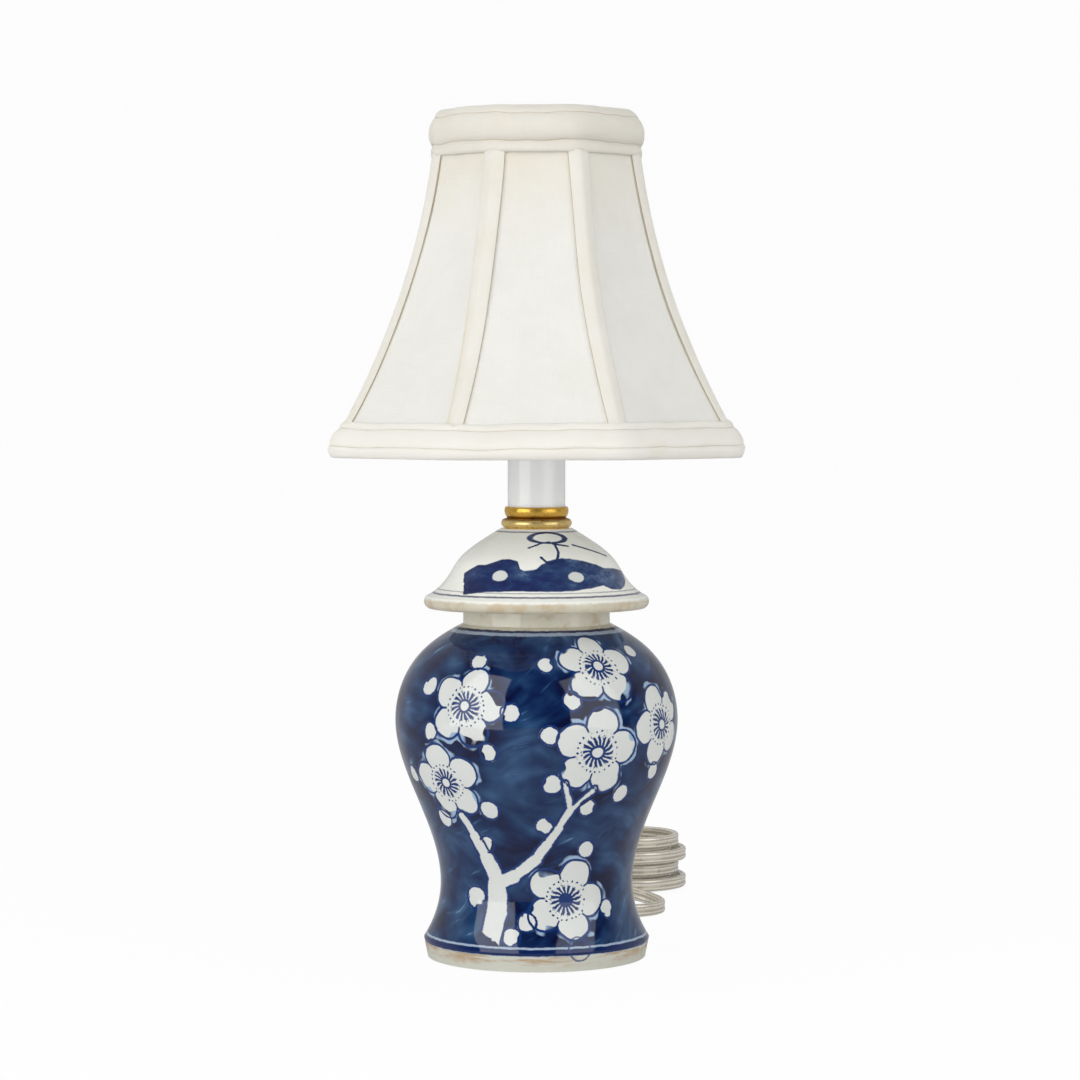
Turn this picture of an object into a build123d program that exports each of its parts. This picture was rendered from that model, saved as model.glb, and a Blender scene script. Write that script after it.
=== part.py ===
from build123d import *
import math
import os

# A jar table lamp: a porcelain jar and lid clamped on a threaded pipe, two brass rings, a candle
# sleeve over a candelabra socket, a bulb, an eight-sided cloth shade that clips on the bulb, and a
# flat lamp cord with an in-line switch, tied in a hank behind the jar.
# Millimetres. The origin is the middle of the jar's foot on the table, +Z is up, +Y is the back.
os.makedirs("parts", exist_ok=True)

# Clearances
seat_gap = 0.2        # round a piece that sits in another
thread_gap = 0.1      # round the pipe, where a nut or a ring goes over it
pivot_gap = 0.05      # round a pin that something turns on
cloth_gap = 0.15      # between layers of cloth and wire
joint_gap = 0.3       # where one stretch of cord ends and the next begins

# Jar, its outline from the foot up, each rise counted from the point below
foot_edge_radius = 40.8
foot_radius = 42.2
foot_height = 7.0
flare_radius = 38.4
flare_rise = 7.6
waist_radius = 36.2
waist_rise = 8.9
lower_belly_radius = 43.7
lower_belly_rise = 33.6
belly_radius = 52.8
belly_rise = 32.5
upper_belly_radius = 49.6
upper_belly_rise = 14.4
shoulder_radius = 43.8
shoulder_rise = 9.0
neck_root_radius = 35.8
neck_root_rise = 6.8
neck_radius = 27.4
neck_rise = 4.8
neck_length = 5.8
jar_wall = 4.0
foot_ring_width = 7.0
recess_depth = 11.0
jar_floor = 5.0
cord_hole_height = 28.0

# Lid, its outline from the rim up, each rise counted from the point below
lid_rim_radius = 42.0
lid_rim_height = 2.8
lid_underside_radius = 40.5
lid_edge_radius = 41.0
lid_edge_rise = 1.7
lid_brim_radius = 36.8
lid_brim_rise = 2.8
lid_waist_radius = 33.0
lid_waist_rise = 4.5
lid_dome_radius = 29.5
lid_dome_rise = 5.6
lid_crown_radius = 22.0
lid_crown_rise = 6.7
lid_top_radius = 13.4
lid_top_rise = 5.5
lid_wall = 4.0
lid_crown_wall = 6.8
spigot_depth = 7.5
spigot_wall = 3.0

# Threaded pipe, washers and nuts
pipe_radius = 5.0
pipe_bore = 3.4
pipe_foot = 2.0
pipe_end_stand = 3.0
window_width = 6.4
window_below = 2.0
window_height = 16.0
rubber_washer_radius = 15.0
rubber_washer_height = 1.8
washer_radius = 13.0
washer_height = 1.2
nut_width = 13.0
nut_height = 3.0

# Brass rings
collar_radius = 13.2
collar_height = 3.8
collar_lip = 0.9
cup_radius = 11.9
cup_height = 4.2
cup_floor = 2.2
cup_lip = 0.7

# Candle sleeve and socket
sleeve_radius = 10.75
sleeve_wall = 1.0
sleeve_length = 55.0
socket_radius = 8.7
socket_length = 29.5
socket_below_sleeve = 1.5
socket_floor = 8.0
shell_radius = 6.65
shell_wall = 0.45
shell_length = 19.5
contact_radius = 3.0
contact_height = 1.2
bracket_thick = 0.65
bracket_foot_height = 1.0
bracket_half_angle = 18.0
bracket_overlap = 10.0
wire_radius = 0.9
wire_hole_offset = 4.0
wire_reach = 6.0

# Bulb
bulb_cap_radius = 5.95
bulb_cap_length = 17.0
bulb_cap_wall = 0.5
bulb_radius = 16.0
bulb_glass_length = 77.0
bulb_widest_height = 32.0
bulb_neck_radius = 5.2
bulb_neck_depth = 6.0
bulb_upper_radius = 9.6
bulb_upper_height = 59.9
bulb_glass_wall = 0.7
button_radius = 1.9
button_height = 1.2
insulator_radius = 4.2
insulator_height = 2.0
stem_radius = 2.2
stem_length = 24.0
stem_flare_height = 2.0
filament_radius = 0.35
filament_height = 25.0
filament_half_width = 4.5

# Bulb clip and rivet
clip_wire_radius = 0.8
clip_arm_radius = 0.7
clip_gap = 0.5
clip_loop_height = 42.0
clip_loop_width = 20.0
clip_hub_radius = 5.0
clip_hub_height = 1.4
clip_hub_above_bulb = 3.6
rivet_radius = 1.8
rivet_head_radius = 3.2
rivet_head_height = 1.0

# Shade
shade_sides = 8
shade_height = 128.2
shade_above_hub = 12.9
panel_inset_top = 3.6
panel_inset_bottom = 3.5
panel_top_apothem = 37.0
panel_bottom_apothem = 75.4
panel_curve_radius = 273.0
panel_thick = 0.7
lining_thick = 0.5
rib_radius = 1.1
ring_wire_radius = 1.25
ring_corner_radius = 4.0
spider_hub_radius = 5.5
spider_hub_height = 1.8
spider_arms = 4
spider_arm_radius = 0.9
band_thick = 0.6
band_top_width = 8.5
band_bottom_width = 6.5
bottom_trim_height = 13.5
top_trim_height = 17.7
trim_lip = 4.6

# Cord, switch and plug
cord_diameter = 4.0
bushing_length = 18.0
bushing_flange_radius = 6.0
bushing_flange_height = 2.0
bushing_flange_stand = 0.5
bushing_wall = 2.2
bushing_tip_wall = 1.0
lead_bend_radius = 13.0
switch_length = 44.0
switch_width = 21.0
switch_height = 14.0
switch_wall = 1.8
switch_corner = 6.0
switch_centre = (7.0, 118.0)
wheel_radius = 8.5
wheel_thick = 4.4
wheel_offset = 4.0
wheel_knurls = 30
wheel_gap = 0.3
axle_radius = 1.8
axle_shoulder_radius = 3.2
screw_radius = 1.2
screw_head_radius = 2.6
screw_head_height = 1.8
screw_spacing = 28.0
screw_setback = 5.2
post_radius = 3.2
cord_entry = 2.5

hank_centre_y = 172.0
hank_left_x = -15.0
hank_right_x = 40.0
hank_low_z = 3.5
hank_layers = 4
hank_layer_pitch = 5.8
hank_inner_radius = 16.0
hank_step = 6.2
hank_waist = 8.0
tie_width = 4.0
tie_thick = 0.6
tie_slack = 0.8

plug_length = 26.0
plug_width = 22.0
plug_thick = 13.0
plug_tail_width = 8.0
plug_grip_width = 13.2
plug_grip_thick = 11.0
plug_grip_start = 11.7
plug_face_depth = 7.8
plug_corner = 3.0
blade_length = 16.5
blade_width = 6.4
blade_thick = 1.5
blade_spacing = 12.7
blade_hole_radius = 1.6

# Heights that follow from these sizes
jar_floor_top = recess_depth + jar_floor
flare_height = foot_height + flare_rise
waist_height = flare_height + waist_rise
lower_belly_height = waist_height + lower_belly_rise
belly_height = lower_belly_height + belly_rise
upper_belly_height = belly_height + upper_belly_rise
shoulder_height = upper_belly_height + shoulder_rise
neck_root_height = shoulder_height + neck_root_rise
neck_height = neck_root_height + neck_rise
jar_height = neck_height + neck_length
lid_rim = jar_height + lid_rim_height
lid_edge = lid_rim + lid_edge_rise
lid_brim = lid_edge + lid_brim_rise
lid_waist = lid_brim + lid_waist_rise
lid_dome = lid_waist + lid_dome_rise
lid_crown = lid_dome + lid_crown_rise
lid_top = lid_crown + lid_top_rise
collar_top = lid_top + collar_height
sleeve_bottom = collar_top + cup_floor
cup_top = collar_top + cup_height
sleeve_top = sleeve_bottom + sleeve_length
bracket_bottom = sleeve_bottom + nut_height
lock_nut_bottom = bracket_bottom + bracket_foot_height
pipe_top = lock_nut_bottom + nut_height + pipe_end_stand
socket_top = sleeve_top - socket_below_sleeve
socket_bottom = socket_top - socket_length
socket_floor_top = socket_bottom + socket_floor
contact_top = socket_floor_top + contact_height
button_bottom = contact_top + seat_gap
insulator_bottom = button_bottom + button_height
bulb_cap_bottom = insulator_bottom + insulator_height
bulb_cap_top = bulb_cap_bottom + bulb_cap_length
glass_bottom = bulb_cap_top - bulb_neck_depth
bulb_widest = bulb_cap_top + bulb_widest_height
bulb_tip = bulb_cap_top + bulb_glass_length
clip_hub_bottom = bulb_tip + clip_hub_above_bulb
spider_bottom = clip_hub_bottom + clip_hub_height + seat_gap
spider_top = spider_bottom + spider_hub_height
shade_top = spider_bottom + shade_above_hub
shade_bottom = shade_top - shade_height
panel_top = shade_top - panel_inset_top
panel_bottom = shade_bottom + panel_inset_bottom

pipe_hole = pipe_radius + thread_gap
cord_radius = cord_diameter / 2
flange_seat = waist_radius + bushing_flange_stand
side_angle = 360 / shade_sides
corner_angle = side_angle / 2
corner_stretch = 1 / math.cos(math.radians(corner_angle))


# Jar body: one turned outline, outside and inside, with the foot ring and the pipe hole in it,
# then the cord's hole at the back and a flat seat round it for the bushing's flange
neck_inside = neck_radius - jar_wall
foot_inside = foot_edge_radius - foot_ring_width
with BuildPart() as jar_body:
    with BuildSketch(Plane.XZ):
        with BuildLine():
            Line((foot_inside, 0), (foot_edge_radius, 0))
            Line((foot_edge_radius, 0), (foot_radius, foot_height))
            Spline(
                (foot_radius, foot_height),
                (flare_radius, flare_height),
                (waist_radius, waist_height),
                (lower_belly_radius, lower_belly_height),
                (belly_radius, belly_height),
                (upper_belly_radius, upper_belly_height),
                (shoulder_radius, shoulder_height),
                (neck_root_radius, neck_root_height),
                (neck_radius, neck_height),
            )
            Polyline(
                (neck_radius, neck_height),
                (neck_radius, jar_height),
                (neck_inside, jar_height),
                (neck_inside, neck_height - jar_wall),
            )
            Spline(
                (neck_inside, neck_height - jar_wall),
                (neck_root_radius - jar_wall, neck_root_height - jar_wall),
                (shoulder_radius - jar_wall, shoulder_height - jar_wall / 2),
                (belly_radius - jar_wall, belly_height),
                (lower_belly_radius - jar_wall, lower_belly_height),
                (waist_radius - jar_wall, waist_height),
            )
            Polyline(
                (waist_radius - jar_wall, waist_height),
                (waist_radius - jar_wall, jar_floor_top),
                (pipe_hole, jar_floor_top),
                (pipe_hole, recess_depth),
                (foot_inside, recess_depth),
                (foot_inside, 0),
            )
        make_face()
    revolve(axis=Axis.Z)
    with BuildSketch(Plane(origin=(0, 0, cord_hole_height), x_dir=(1, 0, 0), z_dir=(0, 1, 0))):
        Circle(cord_radius + bushing_wall + seat_gap)
    extrude(amount=2 * waist_radius, mode=Mode.SUBTRACT)
    with BuildSketch(Plane(origin=(0, flange_seat, cord_hole_height), x_dir=(1, 0, 0), z_dir=(0, 1, 0))):
        Circle(bushing_flange_radius + seat_gap)
    extrude(amount=bushing_length, mode=Mode.SUBTRACT)
jar_body.part.label = "jar_body"
export_step(jar_body.part, "parts/jar_body.step")


# Jar lid: a hollow dome with a flared brim, whose spigot sits inside the neck
spigot_radius = neck_inside - 2 * seat_gap
spigot_inside = spigot_radius - spigot_wall
brim_inside = lid_dome_radius - lid_wall / 3
with BuildPart() as jar_lid:
    with BuildSketch(Plane.XZ):
        with BuildLine():
            Polyline((pipe_hole, lid_top), (lid_top_radius, lid_top))
            Spline(
                (lid_top_radius, lid_top),
                (lid_crown_radius, lid_crown),
                (lid_dome_radius, lid_dome),
                (lid_waist_radius, lid_waist),
                (lid_brim_radius, lid_brim),
                (lid_edge_radius, lid_edge),
            )
            ThreePointArc(
                (lid_edge_radius, lid_edge),
                (lid_rim_radius, lid_rim),
                (lid_underside_radius, jar_height),
            )
            Polyline(
                (lid_underside_radius, jar_height),
                (spigot_radius, jar_height),
                (spigot_radius, jar_height - spigot_depth),
                (spigot_inside, jar_height - spigot_depth),
                (spigot_inside, jar_height),
                (brim_inside, lid_brim),
            )
            Spline(
                (brim_inside, lid_brim),
                (lid_dome_radius - lid_wall, lid_dome - lid_wall / 2),
                (lid_top_radius, lid_top - lid_crown_wall),
                (pipe_hole, lid_top - lid_wall),
            )
            Line((pipe_hole, lid_top - lid_wall), (pipe_hole, lid_top))
        make_face()
    revolve(axis=Axis.Z)
jar_lid.part.label = "jar_lid"
export_step(jar_lid.part, "parts/jar_lid.step")


# Threaded pipe: runs from under the jar to the socket bracket, with a window for the cord
with BuildPart() as lamp_pipe:
    with BuildSketch(Plane.XY.offset(pipe_foot)):
        Circle(pipe_radius)
        Circle(pipe_bore, mode=Mode.SUBTRACT)
    extrude(amount=pipe_top - pipe_foot)
    with BuildSketch(Plane.XY.offset(cord_hole_height - window_below)):
        with Locations((0, pipe_radius)):
            Rectangle(window_width, 2 * pipe_radius)
    extrude(amount=window_height, mode=Mode.SUBTRACT)
    chamfer(lamp_pipe.faces().sort_by(Axis.Z)[-1].edges().sort_by(SortBy.LENGTH)[-1], thread_gap * 4)
lamp_pipe.part.label = "lamp_pipe"
export_step(lamp_pipe.part, "parts/lamp_pipe.step")


# Washers under the jar's floor, rubber against the porcelain and steel against the nut
rubber_washer_bottom = recess_depth - rubber_washer_height
with BuildPart() as base_rubber_washer:
    with BuildSketch(Plane.XY.offset(rubber_washer_bottom)):
        Circle(rubber_washer_radius)
        Circle(pipe_hole, mode=Mode.SUBTRACT)
    extrude(amount=rubber_washer_height)
base_rubber_washer.part.label = "base_rubber_washer"
export_step(base_rubber_washer.part, "parts/base_rubber_washer.step")

washer_bottom = rubber_washer_bottom - washer_height
with BuildPart() as base_washer:
    with BuildSketch(Plane.XY.offset(washer_bottom)):
        Circle(washer_radius)
        Circle(pipe_hole, mode=Mode.SUBTRACT)
    extrude(amount=washer_height)
base_washer.part.label = "base_washer"
export_step(base_washer.part, "parts/base_washer.step")


# Pipe nuts: one under the washers, one that clamps the brass cup, one that locks the bracket
with BuildPart() as pipe_nuts:
    for nut_bottom in (washer_bottom - nut_height, sleeve_bottom, lock_nut_bottom):
        with BuildSketch(Plane.XY.offset(nut_bottom)):
            RegularPolygon(nut_width / 2, 6, major_radius=False)
            Circle(pipe_hole, mode=Mode.SUBTRACT)
        extrude(amount=nut_height)
pipe_nuts.part.label = "pipe_nuts"
export_step(pipe_nuts.part, "parts/pipe_nuts.step")


# Brass collar: a turned bead on the lid
with BuildPart() as brass_collar:
    with BuildSketch(Plane.XZ):
        with BuildLine():
            Polyline((pipe_hole, lid_top), (collar_radius - 1.5 * collar_lip, lid_top))
            Line(
                (collar_radius - 1.5 * collar_lip, lid_top),
                (collar_radius - collar_lip, lid_top + collar_height / 8),
            )
            ThreePointArc(
                (collar_radius - collar_lip, lid_top + collar_height / 8),
                (collar_radius, lid_top + collar_height / 2),
                (collar_radius - collar_lip, collar_top - collar_height / 12),
            )
            Polyline(
                (collar_radius - collar_lip, collar_top - collar_height / 12),
                (collar_radius - 2 * collar_lip, collar_top),
                (pipe_hole, collar_top),
                (pipe_hole, lid_top),
            )
        make_face()
    revolve(axis=Axis.Z)
brass_collar.part.label = "brass_collar"
export_step(brass_collar.part, "parts/brass_collar.step")


# Brass cup: a smaller turned ring whose recess holds the foot of the sleeve
cup_recess = sleeve_radius + seat_gap
with BuildPart() as brass_cup:
    with BuildSketch(Plane.XZ):
        with BuildLine():
            Polyline(
                (pipe_hole, collar_top),
                (cup_radius - 1.5 * cup_lip, collar_top),
                (cup_radius - cup_lip, collar_top + cup_height / 8),
            )
            ThreePointArc(
                (cup_radius - cup_lip, collar_top + cup_height / 8),
                (cup_radius, collar_top + cup_height / 2),
                (cup_radius - cup_lip / 3, cup_top),
            )
            Polyline(
                (cup_radius - cup_lip / 3, cup_top),
                (cup_recess, cup_top),
                (cup_recess, sleeve_bottom),
                (pipe_hole, sleeve_bottom),
                (pipe_hole, collar_top),
            )
        make_face()
    revolve(axis=Axis.Z)
brass_cup.part.label = "brass_cup"
export_step(brass_cup.part, "parts/brass_cup.step")


# Candle sleeve: a plain white tube that stands in the cup and hides the socket
sleeve_inside = sleeve_radius - sleeve_wall
with BuildPart() as candle_sleeve:
    with BuildSketch(Plane.XY.offset(sleeve_bottom)):
        Circle(sleeve_radius)
        Circle(sleeve_inside, mode=Mode.SUBTRACT)
    extrude(amount=sleeve_length)
    fillet(candle_sleeve.faces().sort_by(Axis.Z)[-1].edges(), sleeve_wall / 3)
candle_sleeve.part.label = "candle_sleeve"
export_step(candle_sleeve.part, "parts/candle_sleeve.step")


# Socket bracket: a pressed foot on the pipe with a leg up the back of the socket
bracket_inside = socket_radius + cloth_gap
bracket_outside = bracket_inside + bracket_thick
leg_sine = math.sin(math.radians(bracket_half_angle))
with BuildPart() as socket_bracket:
    with BuildSketch(Plane.XY.offset(bracket_bottom)):
        Circle(bracket_outside)
        Circle(pipe_hole, mode=Mode.SUBTRACT)
    extrude(amount=bracket_foot_height)
    with BuildSketch(Plane.XY.offset(bracket_bottom)):
        Circle(bracket_outside)
        Circle(bracket_inside, mode=Mode.SUBTRACT)
        with Locations((0, bracket_outside)):
            Rectangle(2 * leg_sine * bracket_outside, bracket_outside, mode=Mode.INTERSECT)
    extrude(amount=socket_bottom + bracket_overlap - bracket_bottom)
socket_bracket.part.label = "socket_bracket"
export_step(socket_bracket.part, "parts/socket_bracket.step")


# Candle socket: a moulded tube with a floor, bored for the shell and for the two wires
with BuildPart() as candle_socket:
    with BuildSketch(Plane.XY.offset(socket_bottom)):
        Circle(socket_radius)
        with GridLocations(2 * wire_hole_offset, 1, 2, 1):
            Circle(wire_radius + seat_gap, mode=Mode.SUBTRACT)
    extrude(amount=socket_floor)
    with BuildSketch(Plane.XY.offset(socket_floor_top)):
        Circle(socket_radius)
        Circle(shell_radius + thread_gap, mode=Mode.SUBTRACT)
    extrude(amount=socket_top - socket_floor_top)
candle_socket.part.label = "candle_socket"
export_step(candle_socket.part, "parts/candle_socket.step")


# Socket shell and centre contact: brass, pressed into the moulding
with BuildPart() as socket_shell:
    with BuildSketch(Plane.XY.offset(socket_top - thread_gap - shell_length)):
        Circle(shell_radius)
        Circle(shell_radius - shell_wall, mode=Mode.SUBTRACT)
    extrude(amount=shell_length)
socket_shell.part.label = "socket_shell"
export_step(socket_shell.part, "parts/socket_shell.step")

with BuildPart() as socket_contact:
    with BuildSketch(Plane.XY.offset(socket_floor_top)):
        Circle(contact_radius)
    extrude(amount=contact_height)
    fillet(socket_contact.faces().sort_by(Axis.Z)[-1].edges(), contact_height / 2)
socket_contact.part.label = "socket_contact"
export_step(socket_contact.part, "parts/socket_contact.step")


# Cord bushing: a flanged rubber sleeve in the back of the jar, tapered along the cord
bushing_bore = cord_radius + cloth_gap
bushing_inside = waist_radius - jar_wall - seat_gap
bushing_tip = flange_seat + bushing_flange_height + bushing_length
with BuildPart() as cord_bushing:
    with BuildSketch(Plane.YZ):
        with BuildLine():
            Polyline(
                (bushing_inside, cord_hole_height + bushing_bore),
                (bushing_inside, cord_hole_height + cord_radius + bushing_wall),
                (flange_seat, cord_hole_height + cord_radius + bushing_wall),
                (flange_seat, cord_hole_height + bushing_flange_radius),
                (flange_seat + bushing_flange_height, cord_hole_height + bushing_flange_radius),
                (flange_seat + bushing_flange_height, cord_hole_height + cord_radius + bushing_wall),
                (bushing_tip, cord_hole_height + cord_radius + bushing_tip_wall),
                (bushing_tip, cord_hole_height + bushing_bore),
                close=True,
            )
        make_face()
    revolve(axis=Axis((0, 0, cord_hole_height), (0, 1, 0)))
cord_bushing.part.label = "cord_bushing"
export_step(cord_bushing.part, "parts/cord_bushing.step")


# Inner lead: the cord from the bushing into the pipe's window and up its bore
lead_top = pipe_top + pipe_end_stand
with BuildPart() as inner_lead:
    with BuildLine():
        FilletPolyline(
            (0, bushing_tip, cord_hole_height),
            (0, 0, cord_hole_height),
            (0, 0, lead_top),
            radius=lead_bend_radius,
        )
    with BuildSketch(Plane(origin=(0, bushing_tip, cord_hole_height), z_dir=(0, -1, 0))):
        Circle(cord_radius)
    sweep()
inner_lead.part.label = "inner_lead"
export_step(inner_lead.part, "parts/inner_lead.step")


# Socket wires: the two conductors, parted above the pipe and led up into the socket's floor
wire_start = wire_radius + thread_gap
wire_end = socket_bottom + wire_reach
wire_rise = (socket_bottom - lead_top) / 3
with BuildPart() as right_wire:
    with BuildLine():
        FilletPolyline(
            (wire_start, 0, lead_top),
            (wire_start, 0, lead_top + wire_rise),
            (wire_hole_offset, 0, socket_bottom - wire_rise),
            (wire_hole_offset, 0, wire_end),
            radius=2 * wire_radius,
        )
    with BuildSketch(Plane.XY.offset(lead_top)):
        with Locations((wire_start, 0)):
            Circle(wire_radius)
    sweep()
with BuildPart() as socket_wires:
    add(right_wire.part)
    mirror(right_wire.part, about=Plane.YZ)
socket_wires.part.label = "socket_wires"
export_step(socket_wires.part, "parts/socket_wires.step")


# Bulb: contact button, glass insulator, threaded cap, glass, stem and filament
with BuildPart() as bulb_contact:
    with BuildSketch(Plane.XY.offset(button_bottom)):
        Circle(button_radius)
    extrude(amount=button_height)
    fillet(bulb_contact.faces().sort_by(Axis.Z)[0].edges(), button_height / 3)
bulb_contact.part.label = "bulb_contact"
export_step(bulb_contact.part, "parts/bulb_contact.step")

with BuildPart() as bulb_insulator:
    with BuildSketch(Plane.XY.offset(insulator_bottom)):
        Circle(insulator_radius)
    extrude(amount=insulator_height)
    chamfer(bulb_insulator.faces().sort_by(Axis.Z)[0].edges(), insulator_height / 2)
bulb_insulator.part.label = "bulb_insulator"
export_step(bulb_insulator.part, "parts/bulb_insulator.step")

cap_bore = bulb_cap_radius - bulb_cap_wall
with BuildPart() as bulb_cap:
    with BuildSketch(Plane.XZ):
        with BuildLine():
            Polyline(
                (0, bulb_cap_bottom),
                (insulator_radius, bulb_cap_bottom),
                (bulb_cap_radius, bulb_cap_bottom + insulator_height),
                (bulb_cap_radius, bulb_cap_top),
                (cap_bore, bulb_cap_top),
                (cap_bore, bulb_cap_bottom + insulator_height + bulb_cap_wall),
                (insulator_radius - bulb_cap_wall, bulb_cap_bottom + bulb_cap_wall),
                (0, bulb_cap_bottom + bulb_cap_wall),
                close=True,
            )
        make_face()
    revolve(axis=Axis.Z)
bulb_cap.part.label = "bulb_cap"
export_step(bulb_cap.part, "parts/bulb_cap.step")

neck_bore = bulb_neck_radius - bulb_glass_wall
glass_lower = (bulb_radius + bulb_neck_radius) / 2
glass_lower_height = bulb_cap_top + bulb_widest_height / 3
glass_upper_height = bulb_cap_top + bulb_upper_height
with BuildPart() as bulb_glass:
    with BuildSketch(Plane.XZ):
        with BuildLine():
            Line((bulb_neck_radius, glass_bottom), (bulb_neck_radius, bulb_cap_top))
            Spline(
                (bulb_neck_radius, bulb_cap_top),
                (glass_lower, glass_lower_height),
                (bulb_radius, bulb_widest),
                (bulb_upper_radius, glass_upper_height),
                (0, bulb_tip),
                tangents=[(0, 1), (-1, 0)],
            )
            Line((0, bulb_tip), (0, bulb_tip - bulb_glass_wall))
            Spline(
                (0, bulb_tip - bulb_glass_wall),
                (bulb_upper_radius - bulb_glass_wall, glass_upper_height),
                (bulb_radius - bulb_glass_wall, bulb_widest),
                (glass_lower - bulb_glass_wall, glass_lower_height),
                (neck_bore, bulb_cap_top),
                tangents=[(1, 0), (0, -1)],
            )
            Line((neck_bore, bulb_cap_top), (neck_bore, glass_bottom))
            Line((neck_bore, glass_bottom), (bulb_neck_radius, glass_bottom))
        make_face()
    revolve(axis=Axis.Z)
bulb_glass.part.label = "bulb_glass"
export_step(bulb_glass.part, "parts/bulb_glass.step")

stem_top = glass_bottom + stem_length
with BuildPart() as bulb_stem:
    with BuildSketch(Plane.XY.offset(glass_bottom)):
        Circle(neck_bore - thread_gap)
    extrude(amount=stem_flare_height)
    with BuildSketch(Plane.XY.offset(glass_bottom)):
        Circle(stem_radius)
    extrude(amount=stem_length)
bulb_stem.part.label = "bulb_stem"
export_step(bulb_stem.part, "parts/bulb_stem.step")

filament_foot = stem_radius - 2 * filament_radius
with BuildPart() as bulb_filament:
    with BuildLine():
        FilletPolyline(
            (-filament_foot, 0, stem_top),
            (-filament_half_width, 0, stem_top + filament_height),
            (filament_half_width, 0, stem_top + filament_height),
            (filament_foot, 0, stem_top),
            radius=filament_half_width / 2,
        )
    filament_lean = (filament_foot - filament_half_width, 0, filament_height)
    with BuildSketch(Plane(origin=(-filament_foot, 0, stem_top), z_dir=filament_lean)):
        Circle(filament_radius)
    sweep()
    with BuildSketch(Plane.XY.offset(stem_top)):
        Rectangle(4 * stem_radius, stem_radius)
    extrude(amount=-filament_radius, mode=Mode.SUBTRACT)
bulb_filament.part.label = "bulb_filament"
export_step(bulb_filament.part, "parts/bulb_filament.step")


# Bulb clip: a hub with an arm each side down to a wire loop that is bent round the bulb
clip_grip = bulb_radius + clip_gap
clip_plane_x = clip_grip + clip_wire_radius
loop_top = bulb_widest + clip_loop_height / 2
hub_middle = clip_hub_bottom + clip_hub_height / 2
with BuildPart() as clip_side:
    with BuildSketch(Plane.XY.offset(loop_top - clip_loop_height)):
        Circle(clip_grip + 2 * clip_wire_radius)
        Circle(clip_grip, mode=Mode.SUBTRACT)
    extrude(amount=clip_loop_height)
    with BuildSketch(Plane.YZ):
        with Locations((0, bulb_widest)):
            SlotOverall(clip_loop_height, clip_loop_width, rotation=90)
            SlotOverall(
                clip_loop_height - 4 * clip_wire_radius,
                clip_loop_width - 4 * clip_wire_radius,
                rotation=90,
                mode=Mode.SUBTRACT,
            )
    extrude(amount=2 * clip_grip, mode=Mode.INTERSECT)
    with BuildLine():
        FilletPolyline(
            (clip_plane_x, 0, loop_top - clip_wire_radius),
            (clip_plane_x, 0, (loop_top + hub_middle) / 2),
            (clip_hub_radius + clip_wire_radius, 0, hub_middle),
            (clip_hub_radius - clip_wire_radius, 0, hub_middle),
            radius=2 * clip_wire_radius,
        )
    with BuildSketch(Plane.XY.offset(loop_top - clip_wire_radius)):
        with Locations((clip_plane_x, 0)):
            Circle(clip_arm_radius)
    sweep()
with BuildPart() as bulb_clip:
    with BuildSketch(Plane.XY.offset(clip_hub_bottom)):
        Circle(clip_hub_radius)
        Circle(rivet_radius + pivot_gap, mode=Mode.SUBTRACT)
    extrude(amount=clip_hub_height)
    add(clip_side.part)
    mirror(clip_side.part, about=Plane.YZ)
bulb_clip.part.label = "bulb_clip"
export_step(bulb_clip.part, "parts/bulb_clip.step")


# Clip rivet: headed below the clip's hub and above the spider's hub
with BuildPart() as clip_rivet:
    with BuildSketch(Plane.XY.offset(clip_hub_bottom - rivet_head_height)):
        Circle(rivet_head_radius)
    extrude(amount=rivet_head_height)
    with BuildSketch(Plane.XY.offset(clip_hub_bottom)):
        Circle(rivet_radius)
    extrude(amount=spider_top + seat_gap - clip_hub_bottom)
    with BuildSketch(Plane.XY.offset(spider_top + seat_gap)):
        Circle(rivet_head_radius)
    extrude(amount=rivet_head_height)
    fillet(clip_rivet.faces().sort_by(Axis.Z)[-1].edges(), rivet_head_height / 2)
clip_rivet.part.label = "clip_rivet"
export_step(clip_rivet.part, "parts/clip_rivet.step")


# The shade's side is one arc: its apothem at a height, from its two ends and its radius
half_chord = Vector(panel_top_apothem - panel_bottom_apothem, panel_top - panel_bottom) / 2
arc_middle = Vector(panel_bottom_apothem, panel_bottom) + half_chord
arc_reach = math.sqrt(panel_curve_radius**2 - half_chord.length**2)
arc_centre = arc_middle + Vector(half_chord.Y, -half_chord.X).normalized() * arc_reach


def apothem_at(height):
    drop = height - arc_centre.Y
    return arc_centre.X - math.sqrt(panel_curve_radius**2 - drop**2)


def cloth_outline(offset, thick, low, high):
    """The section of a layer of cloth on one side, from its inner face outwards."""
    middle = (low + high) / 2
    inner = [(apothem_at(height) + offset, height) for height in (low, middle, high)]
    outer = [(radius + thick, height) for radius, height in inner]
    ThreePointArc(*inner)
    Line(inner[2], outer[2])
    ThreePointArc(*outer)
    Line(outer[0], inner[0])


def wire_apothem(height, radius):
    """The apothem of a wire that lies just inside the panels, which lean outwards."""
    lean = (arc_centre.X - apothem_at(height)) / panel_curve_radius
    return apothem_at(height) - panel_thick - (cloth_gap + radius) / lean


side_reach = 2 * panel_bottom_apothem
side_half = side_reach * math.tan(math.radians(corner_angle))
seam_shift = cloth_gap / math.sin(math.radians(corner_angle))


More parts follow.
